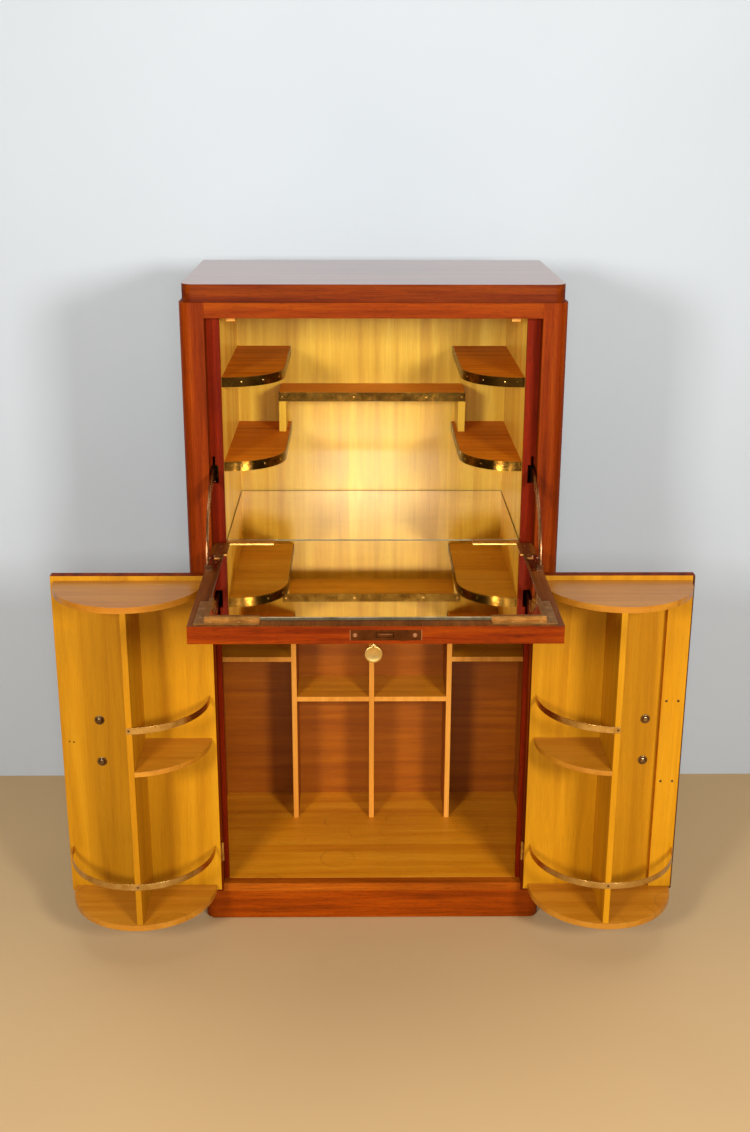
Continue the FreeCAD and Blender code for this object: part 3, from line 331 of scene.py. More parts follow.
# Each finish: the figure of its wood, then its varnish.
woodLooks = {
    "mahoganyUpright": [dict(tones=redTones, grain="z", fibre=0.30), redVarnish],
    "mahoganyAcross": [dict(tones=acrossTones, grain="x", shift=(0.3, 0.1, 0.7), fibre=0.30), redVarnish],
    "mahoganySlab": [dict(tones=slabTones, grain="x", shift=(1.3, 0.4, 0.2), fibre=0.2),
                     dict(gloss=0.30, coat=1.0, coatIndex=1.6, haze=0.30, sheen=0.9)],
    "mahoganySlabEdge": [dict(tones=slabEdgeTones, grain="x", shift=(0.7, 0.4, 0.1)), brownVarnish],
    "mahoganyFlap": [dict(tones=flapTones, grain="y", shift=(0.2, 0.6, 1.1)),
                     dict(gloss=0.46, coat=0.05, sheen=0.06)],
    "mahoganyFlapOutside": [dict(tones=redTones, grain="y", shift=(0.6, 0.2, 0.5), fibre=0.30), redVarnish],
    "mahoganyEdge": [dict(tones=flapEdgeTones, grain="x", shift=(0.9, 0.2, 0.5), figure=95), redVarnish],
    "mahoganyStrip": [dict(tones=stripTones, grain="z", shift=(0.5, 0.1, 0.1)), redVarnish],
    "mahoganyPlinth": [dict(tones=plinthTones, grain="x", shift=(0.1, 0.8, 0.4)), brownVarnish],
    "floorLipping": [dict(tones=lippingTones, grain="x", shift=(0.2, 0.8, 0.3)),
                     dict(gloss=0.46, sheen=0.08)],
    "goldenUpright": [goldFigure, goldVarnish],
    # The golden figure in the brighter side tones: painted light on the linings.
    "goldenSidePaintedLight": [{**goldFigure, "tones": sidePaintedLightTones, "shift": (0.3, 0.3, 0.3)}, goldVarnish],
    "goldenAcross": [{**goldFigure, "grain": "x", "shift": (0.4, 0.2, 0.9), "flame": 0.0},
                     dict(gloss=0.46, coat=0.04)],
    "shelfBrown": [dict(tones=shelfTones, grain="x", shift=(0.8, 0.3, 0.6), figure=48, fibre=0.2),
                   shelfVarnish],
    "shelfGolden": [dict(tones=middleShelfTones, grain="x", shift=(0.5, 0.2, 0.6), figure=48, fibre=0.2),
                    shelfVarnish],
    "shelfUnder": [dict(tones=underTones, grain="x", shift=(0.1, 0.6, 0.3), figure=48, fibre=0.15),
                   dict(gloss=0.5, sheen=0.1)],
    "doorGolden": [dict(tones=doorTones, grain="z", shift=(0.7, 0.9, 0.2), figure=30, flame=0.7,
                        fibre=0.12, pore=0.15),
                   dict(gloss=0.44, sheen=0.16)],
    "doorGoldenAcross": [dict(tones=rackTones, grain="x", shift=(0.2, 0.3, 0.8), figure=36, fibre=0.14,
                              pore=0.2),
                         dict(gloss=0.42, coat=0.5, haze=0.3, sheen=0.2)],
    "lowerUpright": [dict(tones=frontTones, grain="z", shift=(0.1, 0.5, 0.3), figure=36, flame=0.6,
                          fibre=0.16, pore=0.3),
                     dict(gloss=0.42)],
    "lowerAcross": [dict(tones=floorTones, grain="x", shift=(0.6, 0.2, 0.4), figure=36, flame=0.4,
                         fibre=0.18, pore=0.3),
                    dict(gloss=0.40, coat=0.08)],
    "lowerLining": [liningFigure, dict(gloss=0.42, coat=0.05)],
    "plywood": [dict(tones=plywoodTones, grain="z", shift=(0.2, 0.2, 0.2), figure=26, flame=0.8, fibre=0.2),
                dict(gloss=0.55)],
    "feltPad": [dict(tones=feltTones, grain="x", figure=400, fibre=0.3), dict(gloss=0.9)],
}
ringedFinishes = ("doorGoldenAcross", "lowerAcross")
borders = {"doorGolden": [("X", 0.6024, False, (74, 34, 12))]}  # dark past the closing stile on the right
finishes = {}
for name, (figure, varnish) in woodLooks.items():
    finishes[name] = woodFinish(name, figure, varnish, name in ringedFinishes, borders.get(name, ()))
backVarnish = {"gloss": 0.38, "coat": 0.50, "haze": 0.20}
finishes["backLining"] = twoZoneFinish("backLining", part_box("upper_floor")[0].z, upper=goldFigure,
                                       lower=liningFigure, lowerCoat=0.04, varnish=backVarnish)

print("stage: metal and mirror finishes")
# Screw heads on the flush brass are painted: sizes in mm, places from the outer front corner of a bracket.
# Each slot is a dark line of painted shade.
bracketLook = {"screws": [(26, 8), (72, 8), (8, 30), (8, 72)], "head": 2.6, "slot": 0.5,
               "headTone": (208, 176, 116), "slotShadeTone": (60, 40, 18)}
bracketMarks = []
bracketLow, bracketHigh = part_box("mirror_brackets")
for sign, corner in ((1, bracketLow.x), (-1, bracketHigh.x)):
    for along, inward in bracketLook["screws"]:
        place = (corner + sign * along * mm, bracketLow.y + inward * mm, 0.0)
        head, slot = bracketLook["head"] * mm, bracketLook["slot"] * mm
        bracketMarks.append((place, (head, head, 0), bracketLook["headTone"]))
        bracketMarks.append((place, (head, slot, 0), bracketLook["slotShadeTone"]))

# On the lock plate each screw is a rim, a bright face and a slot of painted shade; the bolt hole is one
# dull line.
lockPlateLook = {"screwX": (-33.5, 62.5), "endsFrom": 56.6, "endTone": (176, 112, 68),
                 "screw": [((3.6, 3.6), (170, 110, 70)), ((2.2, 2.2), (206, 158, 116)),
                           ((3.0, 0.5), (40, 24, 12))],
                 "lineX": 15, "line": ((12.5, 0.8), (150, 104, 70)),
                 "boltLine": ((11, 0.6), (150, 104, 72)), "boltLineUp": 1.1}


# An ellipse on the plate's front: its place across and up, and its half width and half height with a tone.
def plateMark(across, level, shape):
    (halfWidth, halfHeight), tone = shape
    return (across * mm, 0.0, level), (halfWidth * mm, 0, halfHeight * mm), tone


flapLow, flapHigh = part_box("flap_panel")
lockLow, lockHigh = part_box("lock_trim")
plateLevel = (flapLow.z + flapHigh.z) / 2
lockMarks = [plateMark(across, plateLevel, shape)
             for across in lockPlateLook["screwX"] for shape in lockPlateLook["screw"]]
lockMarks.append(plateMark(lockPlateLook["lineX"], plateLevel, lockPlateLook["line"]))
boltMark = plateMark(lockPlateLook["lineX"], plateLevel + lockPlateLook["boltLineUp"] * mm,
                     lockPlateLook["boltLine"])
plateEnds = ((lockLow.x + lockHigh.x) / 2, lockPlateLook["endsFrom"] * mm, lockPlateLook["endTone"])
plateTones = [(64, 32, 10), (84, 44, 16), (108, 60, 26)]

metalLooks = {
    "brass": dict(tones=[(176, 132, 60), (204, 162, 86), (224, 188, 116)], rough=0.20, specks=0.15),
    "keyBrass": dict(tones=[(180, 140, 70), (200, 162, 90), (216, 184, 116)], rough=0.34, specks=0.1),
    "bracketBrass": dict(tones=[(130, 92, 42), (154, 112, 56), (180, 140, 80)], rough=0.38, specks=0.15,
                         marks=bracketMarks),
    "dullBrass": dict(tones=[(96, 62, 26), (124, 86, 42), (156, 118, 66)], rough=0.34, specks=0.3),
    "agedBrass": dict(tones=[(58, 36, 10), (86, 57, 17), (146, 108, 44)], rough=0.20),
    "facePlate": dict(tones=plateTones, rough=0.42, specks=0.2, wornEnds=plateEnds, marks=lockMarks),
    "boltFace": dict(tones=plateTones, rough=0.42, specks=0.2, marks=[boltMark]),
    "stayMetal": dict(tones=[(96, 62, 38), (126, 84, 54), (156, 108, 74)], rough=0.22, specks=0.3),
    "steel": dict(tones=[(86, 80, 72), (122, 116, 108), (156, 150, 142)], rough=0.36),
    "darkScrew": dict(tones=[(46, 34, 22), (70, 54, 36), (96, 78, 54)], rough=0.4),
    "brightNut": dict(tones=[(84, 64, 40), (122, 96, 62), (166, 138, 96)], rough=0.24, specks=0.4),
    "brightScrew": dict(tones=[(206, 182, 140), (232, 212, 172), (248, 234, 204)], rough=0.22, specks=0.1),
    "glassEdge": dict(tones=[(88, 78, 54), (112, 100, 74), (136, 124, 94)], rough=0.42, specks=0.1),
    "polishedEdge": dict(tones=[(186, 170, 120), (206, 190, 140), (222, 208, 164)], rough=0.40, specks=0.1),
}
mirrorLooks = {
    "silveredGlass": dict(tone=(226, 214, 184), rough=0.012),
    "floorGlass": dict(tone=(238, 228, 200), rough=0.012,
                       ground=[("X", 0.2775, True), ("Y", 0.1875, False)]),
}
finishes.update({name: metalFinish(name, **look) for name, look in metalLooks.items()})
finishes.update({name: mirrorFinish(name, **look) for name, look in mirrorLooks.items()})

weldReach = 0.01 * mm
easeLook = {"segments": 2, "angle": 0.6, "weight": 50}
facingLimit = 0.85  # cosine of the widest angle at which a triangle still looks one way


# Joins a node's loose triangles, rounds its arrises a little and shades them smoothly.
def eased(node, width, smooth):
    node.data.polygons.foreach_set("use_smooth", np.full(len(node.data.polygons), smooth))
    weld = node.modifiers.new("weld", "WELD")
    weld.merge_threshold = weldReach
    bevel = node.modifiers.new("easedEdges", "BEVEL")
    bevel.width = width
    bevel.segments = easeLook["segments"]
    bevel.limit_method = "ANGLE"
    bevel.angle_limit = easeLook["angle"]
    if smooth:
        shading = node.modifiers.new("evenShading", "WEIGHTED_NORMAL")
        shading.mode = "FACE_AREA"
        shading.weight = easeLook["weight"]


# One row of three numbers for each triangle: its normal or its centre.
def eachFace(mesh, what):
    values = np.zeros(len(mesh.polygons) * 3)
    mesh.polygons.foreach_get(what, values)
    return values.reshape(-1, 3)


# A test that picks the triangles whose normal lies near a direction.
def towards(*direction):
    return lambda mesh: eachFace(mesh, "normal") @ np.array(direction, float) > facingLimit


# Gives a node its main finish, an eased edge in mm, and other finishes to faces picked by a test.
def finished(name, main, width, others=()):
    node = nodes[name]
    mesh = node.data
    mesh.materials.clear()
    mesh.materials.append(finishes[main])
    chosen = np.zeros(len(mesh.polygons), np.int32)
    for number, (finish, pick) in enumerate(others, start=1):
        mesh.materials.append(finishes[finish])
        chosen[pick(mesh)] = number
    mesh.polygons.foreach_set("material_index", chosen)
    eased(node, width * mm, smooth="Glass" not in main)


up, down, front = towards(0, 0, 1), towards(0, 0, -1), towards(0, -1, 0)

print("stage: carcass finishes")
carcassLook = {
    "top_panel": ("mahoganySlabEdge", 1.2, [("mahoganySlab", up)]),
    "top_rail": ("mahoganyAcross", 0.6),
    "middle_rail": ("mahoganyAcross", 0.6),
    "plinth_front": ("mahoganyPlinth", 1.0),
    "plinth_sides": ("mahoganyPlinth", 0.8),
    "floor_lipping": ("floorLipping", 0.6),
    "stop_strips": ("mahoganyStrip", 0.6),
    "flap_stops": ("lowerUpright", 0.5),
    "glides": ("feltPad", 0.2),
    "left_side": ("mahoganyUpright", 0.8, [("lowerLining", towards(1, 0, 0))]),
    "right_side": ("mahoganyUpright", 0.8, [("lowerLining", towards(-1, 0, 0))]),
    "back_panel": ("plywood", 0.4, [("backLining", front)]),
    "upper_ceiling": ("goldenAcross", 0.4),
    "upper_floor": ("goldenAcross", 0.4),
    "middle_shelf": ("shelfGolden", 0.4, [("shelfUnder", down)]),
    "shelf_posts": ("goldenUpright", 0.4),
    "floor_bearers": ("lowerAcross", 0.4),
    "lower_ceiling": ("lowerAcross", 0.4),
    "bottom_board": ("lowerAcross", 0.5),
    "cell_dividers": ("lowerLining", 0.5, [("lowerUpright", front)]),
    "cell_shelf": ("lowerAcross", 0.5, [("lowerUpright", front)]),
    "bay_shelves": ("lowerAcross", 0.5, [("lowerUpright", front)]),
    "floor_mirror": ("floorGlass", 1.1, [("polishedEdge", front)]),
    "strike_plate": ("brass", 0.2),
    "flap_pivots": ("brass", 0.2),
    "carcass_hinges": ("brass", 0.2),
    "shelf_edging": ("agedBrass", 0.25),
}
for side in ("left", "right"):
    carcassLook[side + "_post"] = ("mahoganyUpright", 0.8)
    # The linings take the brighter golden finish: painted light on the sides.
    carcassLook[side + "_lining"] = ("goldenSidePaintedLight", 0.4)
    for level in ("lower", "upper"):
        carcassLook[f"{side}_{level}_shelf"] = ("shelfBrown", 0.4, [("shelfUnder", down)])
for name, look in carcassLook.items():
    finished(name, *look)

print("stage: flap and door finishes")
rearBracket = {"depth": 24 * mm, "inset": 0.5 * mm}


# The strips of the brackets that lie along the mirror's rear edge.
def onRearEdge(mesh):
    centres = eachFace(mesh, "center")
    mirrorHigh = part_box("flap_mirror")[1]
    behind = centres[:, 1] > mirrorHigh.y - rearBracket["depth"]
    return behind & (np.abs(centres[:, 0]) < mirrorHigh.x - rearBracket["inset"])


# The key escutcheon, under the flap's lower face.
def underFlap(mesh):
    return eachFace(mesh, "center")[:, 2] < flapLow.z


flapLook = {
    "flap_panel": ("mahoganyFlap", 0.8, [("mahoganyEdge", front), ("mahoganyFlapOutside", down)]),
    "flap_mirror": ("silveredGlass", 1.0, [("glassEdge", front)]),
    "mirror_brackets": ("bracketBrass", 0.4, [("keyBrass", onRearEdge)]),
    "lock_trim": ("facePlate", 0.25, [("brass", underFlap)]),
    "lock_case": ("steel", 0.3),
    "lock_bolt": ("boltFace", 0.8),
    "left_quadrant": ("stayMetal", 0.4),
    "right_quadrant": ("stayMetal", 0.4),
}
for name, look in flapLook.items():
    finished(name, *look)
doorLook = {
    "door_panel": ("mahoganyUpright", 0.8, [("doorGolden", front)]),
    "rack_ends": ("doorGoldenAcross", 0.6),
    "rack_divider": ("doorGolden", 0.6),
    "rack_shelf": ("doorGoldenAcross", 0.5),
    "rack_rails": ("brass", 0.4),
    "door_hinges": ("brass", 0.3),
}
for side in ("left", "right"):
    for name, look in doorLook.items():
        finished(f"{side}_{name}", *look)
# The stile's side face towards the door's middle takes the darker shelf wood: painted shade for the shadow
# on that face.
finished("right_closing_stile", "doorGolden", 0.8, [("shelfBrown", towards(-1, 0, 0))])

# The eased edge of each pane shows the dull edge of the glass.
for name in ("floor_mirror", "flap_mirror"):
    panes = nodes[name].data.materials
    if "glassEdge" not in panes:
        panes.append(finishes["glassEdge"])
    nodes[name].modifiers["easedEdges"].material = panes.find("glassEdge")


# Quads of a grid whose columns close into a ring: a point's number is row * columns + column.
def gridFaces(rows, columns):
    row, column = np.meshgrid(np.arange(rows - 1), np.arange(columns), indexing="ij")
    following = (column + 1) % columns
    quads = np.stack([row * columns + column, row * columns + following, (row + 1) * columns + following,
                      (row + 1) * columns + column], axis=-1)
    return quads.reshape(-1, 4)


steep = 0.9  # above this upward share a direction counts as upright
onAxis = 1e-3  # mm, a radius so small that the weld closes the end of a turned piece


# Two unit vectors across a direction, so that across, along and the direction are right-handed.
def axesFor(direction):
    out = np.array(direction, float) / np.linalg.norm(direction)
    helper = np.array([0.0, 0.0, 1.0]) if abs(out[2]) < steep else np.array([1.0, 0.0, 0.0])
    across = np.cross(helper, out)
    across /= np.linalg.norm(across)
    return across, np.cross(out, across), out


# Turned piece: foot + radius * (cos a * across + sin a * along) + height * direction,
# for the radius and height of each profile point and each angle a; ripple may change the height.
def turned(profile, foot, direction, columns, ripple=None):
    profile = np.array(profile, float)
    angle = np.linspace(0, 2 * np.pi, columns, endpoint=False)
    radius = profile[:, 0][:, None]
    height = np.repeat(profile[:, 1][:, None], columns, axis=1)
    if ripple:
        height = ripple(radius, angle[None, :], height)
    across, along, out = axesFor(direction)
    ring = np.cos(angle)[None, :, None] * across + np.sin(angle)[None, :, None] * along
    points = np.array(foot, float) + radius[:, :, None] * ring + height[:, :, None] * out
    return points.reshape(-1, 3), gridFaces(len(profile), columns)


# Joins surfaces into one closed mesh, gives it a finish and lets it ride on its body.
def piece(name, parts, finish, body, replacing=()):
    points = []
    faces = []
    count = 0
    for corners, quads in parts:
        points.append(corners)
        faces += (quads + count).tolist()
        count += len(corners)
    mesh = bpy.data.meshes.new(name)
    mesh.from_pydata(np.concatenate(points).tolist(), [], faces)
    mesh.materials.append(finishes[finish])
    mesh.polygons.foreach_set("use_smooth", np.full(len(mesh.polygons), True))
    mesh.update()
    thing = bpy.data.objects.new(name, mesh)
    bpy.context.scene.collection.objects.link(thing)
    weld = thing.modifiers.new("weld", "WELD")
    weld.merge_threshold = weldReach
    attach(thing, body)
    if replacing:
        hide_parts(*replacing)


domeLook = {"rimShare": 0.25, "steps": 9, "slotClearShare": 1.2}


# A low rim, then a quarter ellipse: radius * cos b and height * sin b.
def domeProfile(radius, height):
    rim = domeLook["rimShare"]
    bend = np.linspace(0, np.pi / 2, domeLook["steps"])
    crown = np.stack([radius * np.cos(bend), rim * height + (1 - rim) * height * np.sin(bend)], axis=1)
    return np.concatenate([[[onAxis * mm, 0], [radius, 0]], crown])


# A straight slot across a head: the height drops where |radius * sin a| is under half the width.
def slotted(width, depth):
    def ripple(radius, angle, height):
        near = np.abs(radius * np.sin(angle)) < width / 2
        return np.where(near & (height > depth * domeLook["slotClearShare"]), height - depth, height)
    return ripple


def heads(spots, direction, radius, height, columns, ripple=None):
    return [turned(domeProfile(radius, height), spot, direction, columns, ripple) for spot in spots]


print("stage: nails, screws and rivets")
# Sizes in mm; turns are degrees round a shelf's corner, straight is the straight stretch before it.
nailLook = {"radius": 1.9, "height": 0.8, "sunk": 0.05, "columns": 20, "band": 1.5, "straight": 10,
            "turns": (75, 50, 25, 3), "middleX": (-183, -37, 111, 183)}
band, sunk = nailLook["band"] * mm, nailLook["sunk"] * mm


def nailHeads(spots, direction):
    return heads(spots, direction, nailLook["radius"] * mm, nailLook["height"] * mm, nailLook["columns"])


# Round the corner of a side shelf: centre + (cos t, -sin t) * radius, and its mirror image on the right.
nails = []
for name in ("left_lower_shelf", "left_upper_shelf"):
    low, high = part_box(name)
    bandInner = high.x + band
    radius = bandInner - low.x - nailLook["straight"] * mm
    centre = np.array([bandInner - radius, low.y - band + radius, (low.z + high.z) / 2])
    for turn in np.radians(nailLook["turns"]):
        out = np.array([np.cos(turn), -np.sin(turn), 0.0])
        for side in np.array([(1, 1, 1), (-1, 1, 1)]):
            nails += nailHeads([(centre + out * (radius - sunk)) * side], out * side)
low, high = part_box("middle_shelf")
middleSpots = [(x * mm, low.y - band + sunk, (low.z + high.z) / 2) for x in nailLook["middleX"]]
nails += nailHeads(middleSpots, (0, -1, 0))
piece("edgingNails", nails, "brass", "carcass")

screwLook = {"radius": 3.4, "height": 1.0, "slot": 0.9, "slotDepth": 0.55, "columns": 48}


def screws(spots, direction, size):
    names = ("radius", "height", "slot", "slotDepth")
    radius, height, slot, slotDepth = [screwLook[name] * mm * size for name in names]
    return heads(spots, direction, radius, height, screwLook["columns"], slotted(slot, slotDepth))


stayLook = {"sunk": 0.4, "screwX": (-286.5, 286.5), "screwY": (-340, -300, -268), "screwSize": 0.9,
            "rivets": [(300.5, -274.5), (293.1, -262.8), (284.5, -253.9)],
            "rivetRadius": 2.2, "rivetHeight": 1.2, "rivetColumns": 24}
stayFoot = flapHigh.z - stayLook["sunk"] * mm
staySpots = [(x * mm, y * mm, stayFoot) for x in stayLook["screwX"] for y in stayLook["screwY"]]
piece("stayScrews", screws(staySpots, (0, 0, 1), stayLook["screwSize"]), "dullBrass", "flap")
rivetSpots = [(flip * x * mm, y * mm, stayFoot) for flip in (-1, 1) for x, y in stayLook["rivets"]]
rivets = heads(rivetSpots, (0, 0, 1), stayLook["rivetRadius"] * mm, stayLook["rivetHeight"] * mm,
               stayLook["rivetColumns"])
piece("stayRivets", rivets, "brightScrew", "flap")

print("stage: handles")
# Profiles are radius and height in mm; levels are the heights of the two posts.
handleLook = {"fromMiddle": 531, "levels": (377, 465.5), "overhang": 12, "barRadius": 4.0, "barSwell": 0.8,
              "barSteps": 13, "columns": 40, "nutColumns": 48,
              "nut": [(onAxis, 0), (9.5, 0), (9.5, 0.7), (8.9, 1.3), (7.9, 1.4), (7.4, 1.1), (7.0, 1.6),
                      (6.6, 2.7), (5.6, 3.8), (4.0, 4.5), (2.0, 4.9), (onAxis, 5.0)],
              "barEnd": [(onAxis, 0), (2.6, 0.3), (4.3, 1.3), (5, 3), (5, 5.5), (4.3, 6.4), (4.3, 8)],
              "post": [(onAxis, 0), (7.6, 0), (7.6, 1.0), (5.2, 2.0), (4.2, 3.6), (3.4, 8), (3.4, 16),
                       (4.2, 21), (4.2, 26), (onAxis, 26)]}
lowLevel, highLevel = handleLook["levels"]
barFoot = lowLevel - handleLook["overhang"]
barLength = highLevel - lowLevel + 2 * handleLook["overhang"]
barEnd = np.array(handleLook["barEnd"])
endLength = barEnd[-1, 1]
share = np.linspace(0, 1, handleLook["barSteps"])[1:-1]
# Between its ends the bar swells: radius + swell * sin(pi * share).
barBody = np.stack([handleLook["barRadius"] + handleLook["barSwell"] * np.sin(np.pi * share),
                    endLength + (barLength - 2 * endLength) * share], axis=1)
barProfile = np.concatenate([barEnd, barBody, (barEnd * (1, -1) + (0, barLength))[::-1]]) * mm
postProfile = np.array(handleLook["post"]) * mm
nutProfile = np.array(handleLook["nut"]) * mm
postLength = postProfile[-1, 1]
for side, flip in (("left", -1), ("right", 1)):
    innerFace, outerFace = [corner.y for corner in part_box(side + "_door_panel")]
    x = flip * handleLook["fromMiddle"] * mm
    barPlace = (x, outerFace + postLength, barFoot * mm)
    parts = [turned(barProfile, barPlace, (0, 0, 1), handleLook["columns"])]
    for level in handleLook["levels"]:
        parts.append(turned(postProfile, (x, outerFace, level * mm), (0, 1, 0), handleLook["columns"]))
        parts.append(turned(nutProfile, (x, innerFace, level * mm), (0, -1, 0), handleLook["nutColumns"]))
    piece(side + "Handle", parts, "brightNut", side + "_door", [side + "_door_handle"])

print("stage: key")
# Profiles are radius and height in mm; shoulder and bit have two corners, off the axis and at their levels.
keyLook = {"axis": (-3.5, -599), "bowLevel": 752.4, "bowHalf": 1.25, "top": 796.9,
           "bow": [(onAxis, 0.35), (10.9, 0.35), (11.6, 0), (14.1, 0), (14.5, 0.4), (14.5, 2.1),
                   (14.1, 2.5), (11.6, 2.5), (10.9, 2.15), (onAxis, 2.15)],
           "shank": [(onAxis, 0), (1.9, 0), (1.9, 3), (2.5, 3.6), (2.5, 5.4), (2.0, 6), (2.0, 8),
                     (2.4, 8.5), (2.4, 9.4), (2.0, 9.9), (2.0, 32), (1.2, 32.6), (onAxis, 32.6)],
           "bowColumns": 72, "shankColumns": 32,
           "shoulder": [(-5, -2.3, 767.8), (5, 2.3, 769.6)], "shoulderPower": 3,
           "bit": [(-6, -1, 791.9), (-1, 1, 796.7)], "bitPower": 6}
plateShares = {"columns": 48, "width": (1e-4, 0.94, 1, 1, 0.94, 1e-4), "rise": (0, 0, 0.06, 0.94, 1, 1)}


# Flat plate on the key's axis: the ring |x|^p + |y|^p = 1 carried up, drawn in a little at both ends.
def plate(corners, power):
    low, high = (np.array(corners) + (*keyLook["axis"], 0)) * mm
    half, middle = (high - low) / 2, (high + low) / 2
    angle = np.linspace(0, 2 * np.pi, plateShares["columns"], endpoint=False)
    wide, deep = [np.sign(part) * np.abs(part) ** (2 / power) for part in (np.cos(angle), np.sin(angle))]
    width = np.array(plateShares["width"])[:, None]
    rise = np.array(plateShares["rise"])[:, None]
    x = middle[0] + half[0] * width * wide
    y = middle[1] + half[1] * width * deep
    z = low[2] + 2 * half[2] * rise
    points = np.stack(np.broadcast_arrays(x, y, z), axis=-1)
    return points.reshape(-1, 3), gridFaces(len(rise), plateShares["columns"])


keyX, keyY = [value * mm for value in keyLook["axis"]]
bowFoot = (keyX, keyY + keyLook["bowHalf"] * mm, keyLook["bowLevel"] * mm)
shankFoot = (keyX, keyY, (keyLook["top"] - keyLook["shank"][-1][1]) * mm)
bow = turned(np.array(keyLook["bow"]) * mm, bowFoot, (0, -1, 0), keyLook["bowColumns"])
shank = turned(np.array(keyLook["shank"]) * mm, shankFoot, (0, 0, 1), keyLook["shankColumns"])
shoulder = plate(keyLook["shoulder"], keyLook["shoulderPower"])
bit = plate(keyLook["bit"], keyLook["bitPower"])
piece("turnedKey", [bow, shank, shoulder, bit], "keyBrass", "key", ["key"])

print("stage: small fastenings on the doors")
stileScrewLook = {"x": (566.8, 589.8), "z": (336.5, 508.5), "sunk": 0.3, "size": 0.8}
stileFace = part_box("right_closing_stile")[0].y + stileScrewLook["sunk"] * mm
stileSpots = [(x * mm, stileFace, z * mm) for x in stileScrewLook["x"] for z in stileScrewLook["z"]]
stileScrews = screws(stileSpots, (0, -1, 0), stileScrewLook["size"])
piece("closingScrews", stileScrews, "darkScrew", "right_door")

# Two small holes in the left door are drawn as low dark discs: painted shade where the holes are.
holeShadeLook = {"places": [(-592, 420), (-583.5, 418.8)], "radius": 1.7, "height": 0.3, "columns": 20}
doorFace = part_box("left_door_panel")[0].y
holeSpots = [(x * mm, doorFace, z * mm) for x, z in holeShadeLook["places"]]
holeShadeDiscs = heads(holeSpots, (0, -1, 0), holeShadeLook["radius"] * mm, holeShadeLook["height"] * mm, holeShadeLook["columns"])
piece("doorHoleShades", holeShadeDiscs, "darkScrew", "left_door")

# One screw for each bottle rail, where it crosses the front edge of the rack's divider.
railScrewLook = {"inset": 6.5, "sunk": 0.1, "size": 0.6}
for side in ("left", "right"):
    railLow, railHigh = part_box(side + "_rack_rails")
    dividerLow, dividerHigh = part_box(side + "_rack_divider")
    inset = railScrewLook["inset"] * mm
    railSpots = [((dividerLow.x + dividerHigh.x) / 2, railLow.y + railScrewLook["sunk"] * mm, level)
                 for level in (railHigh.z - inset, railLow.z + inset)]
    railScrews = screws(railSpots, (0, -1, 0), railScrewLook["size"])
    piece(side + "RailScrews", railScrews, "darkScrew", side + "_door")

print("stage: floor, wall and light")
stageLook = {"floor": (192, 158, 110), "wall": (190, 196, 200), "wallY": 0.45, "reach": 6.0,
             "wallHeight": 5.0, "patchScale": 1.4, "patchDetail": 2, "patchSpots": (0.2, 0.8),
             "patchShare": 0.97, "rough": 0.6}


# A nearly even matt surface; a one-sided one vanishes when seen from behind.
def plainFinish(name, tone, oneSided=False):
    plain = Shader(name)
    soft = plain.noise(plain.even(stageLook["patchScale"]), stageLook["patchDetail"])
    tones = [darker(tone, stageLook["patchShare"]), colour(*tone)]
    plain.fill(plain.surface, {"Base Color": plain.ramp(soft, stageLook["patchSpots"], tones),
                               "Roughness": stageLook["rough"]})
    if oneSided:
        behind = plain.add("ShaderNodeNewGeometry").outputs["Backfacing"]
        clear = plain.add("ShaderNodeBsdfTransparent").outputs[0]
        blend = plain.add("ShaderNodeMixShader", {0: behind, 1: plain.surface.outputs[0], 2: clear})
        plain.fill(plain.tree.nodes["Material Output"], {"Surface": blend.outputs[0]})
    return plain.material


def flatPlane(name, corners, finish):
    mesh = bpy.data.meshes.new(name)
    mesh.from_pydata(corners, [], [(0, 1, 2, 3)])
    mesh.materials.append(finish)
    plane = bpy.data.objects.new(name, mesh)
    bpy.context.scene.collection.objects.link(plane)


reach, wallY, wallHeight = [stageLook[key] for key in ("reach", "wallY", "wallHeight")]
flatPlane("studioFloor", [(-reach, -reach, 0), (reach, -reach, 0), (reach, reach, 0), (-reach, reach, 0)],
          plainFinish("floorTone", stageLook["floor"]))
flatPlane("studioWall", [(-reach, wallY, 0), (reach, wallY, 0), (reach, wallY, wallHeight),
                         (-reach, wallY, wallHeight)],
          plainFinish("wallTone", stageLook["wall"], oneSided=True))

# Each soft box: its place, the point it looks at, its width and height in metres and its watts.
lampLook = {
    "leftSoftBox": ((-1.3, -2.85, 1.75), (0, 0, 0.7), 0.5, 0.5, 64),
    "rightSoftBox": ((1.3, -2.85, 1.75), (0, 0, 0.7), 0.5, 0.5, 75),
    "cameraSoftBox": ((0.0, -3.3, 1.68), (0, 0, 0.8), 0.5, 0.3, 26),
    "topSoftBox": ((0, -0.5, 3.4), (0, -0.1, 0.6), 2.2, 1.6, 22),
}
worldLook = {"tone": (0.92, 0.96, 1.0, 1), "strength": 0.14}


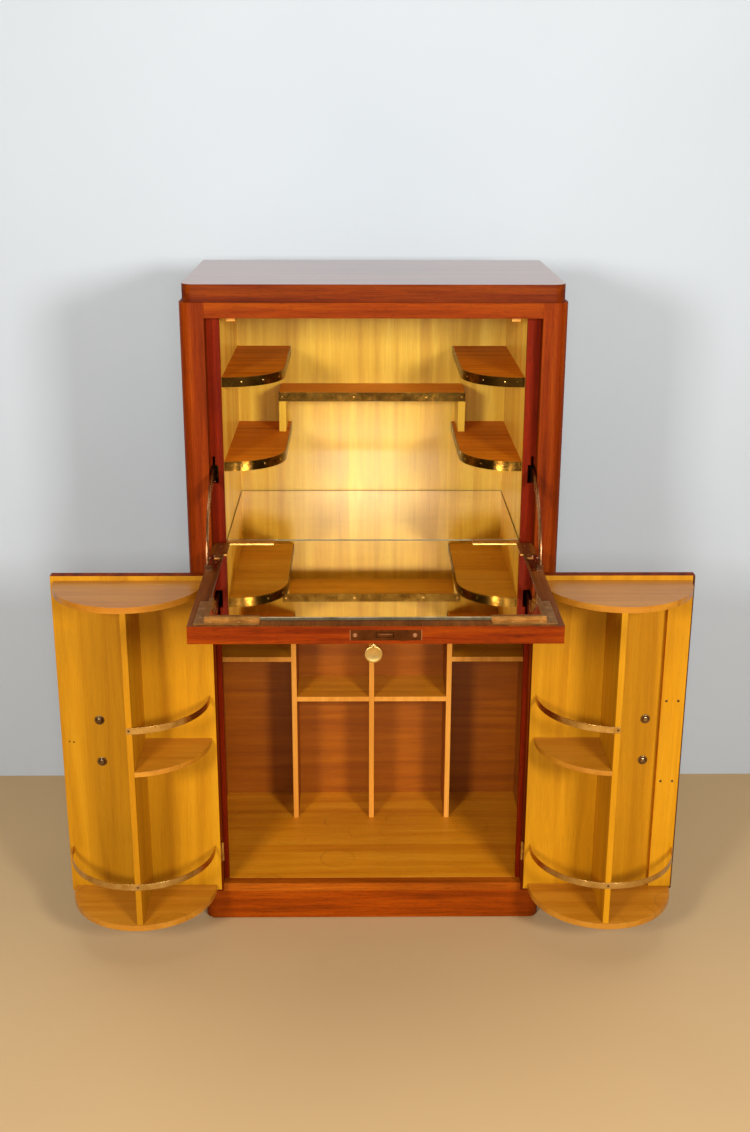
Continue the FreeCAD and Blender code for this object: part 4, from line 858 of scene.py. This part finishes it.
def softBox(name, place, target, width, height, power):
    lamp = bpy.data.lights.new(name, "AREA")
    lamp.shape = "RECTANGLE"
    lamp.size = width
    lamp.size_y = height
    lamp.energy = power
    holder = bpy.data.objects.new(name, lamp)
    holder.location = place
    holder.rotation_euler = (Vector(target) - Vector(place)).to_track_quat("-Z", "Y").to_euler()
    bpy.context.scene.collection.objects.link(holder)


for name, settings in lampLook.items():
    softBox(name, *settings)
world = bpy.data.worlds.new("studioWorld")
world.use_nodes = True
background = world.node_tree.nodes["Background"]
background.inputs["Color"].default_value = worldLook["tone"]
background.inputs["Strength"].default_value = worldLook["strength"]
bpy.context.scene.world = world

print("stage: camera")
# Solved from the photograph's straight edges: place in metres, angles in radians, lens in pixels.
cameraLook = {"place": (-0.0274, -2.7049, 1.6086), "yaw": 0.0122, "pitch": 0.3228, "roll": 0.0028,
              "focalPixels": 1393.1, "imageWidth": 750, "imageHeight": 1132, "middle": (374.9, 566.0),
              "sensorWidth": 36}


# Camera axes from yaw, pitch and roll; focal length and shift from pixels.
def addCamera(look):
    yaw, pitch, roll = look["yaw"], look["pitch"], look["roll"]
    forward = Vector((np.sin(yaw) * np.cos(pitch), np.cos(yaw) * np.cos(pitch), -np.sin(pitch)))
    right = Vector((np.cos(yaw), -np.sin(yaw), 0))
    above = right.cross(forward)
    rolledRight = right * np.cos(roll) + above * np.sin(roll)
    rolledUp = above * np.cos(roll) - right * np.sin(roll)
    lens = bpy.data.cameras.new("photoCamera")
    lens.sensor_fit = "HORIZONTAL"
    lens.sensor_width = look["sensorWidth"]
    lens.lens = look["focalPixels"] * look["sensorWidth"] / look["imageWidth"]
    lens.shift_x = (look["imageWidth"] / 2 - look["middle"][0]) / look["imageWidth"]
    lens.shift_y = (look["middle"][1] - look["imageHeight"] / 2) / look["imageWidth"]
    camera = bpy.data.objects.new("photoCamera", lens)
    axes = Matrix((rolledRight, rolledUp, -forward)).transposed()
    camera.matrix_world = Matrix.Translation(look["place"]) @ axes.to_4x4()
    bpy.context.scene.collection.objects.link(camera)
    bpy.context.scene.camera = camera


addCamera(cameraLook)
bpy.context.scene.view_settings.view_transform = "Standard"
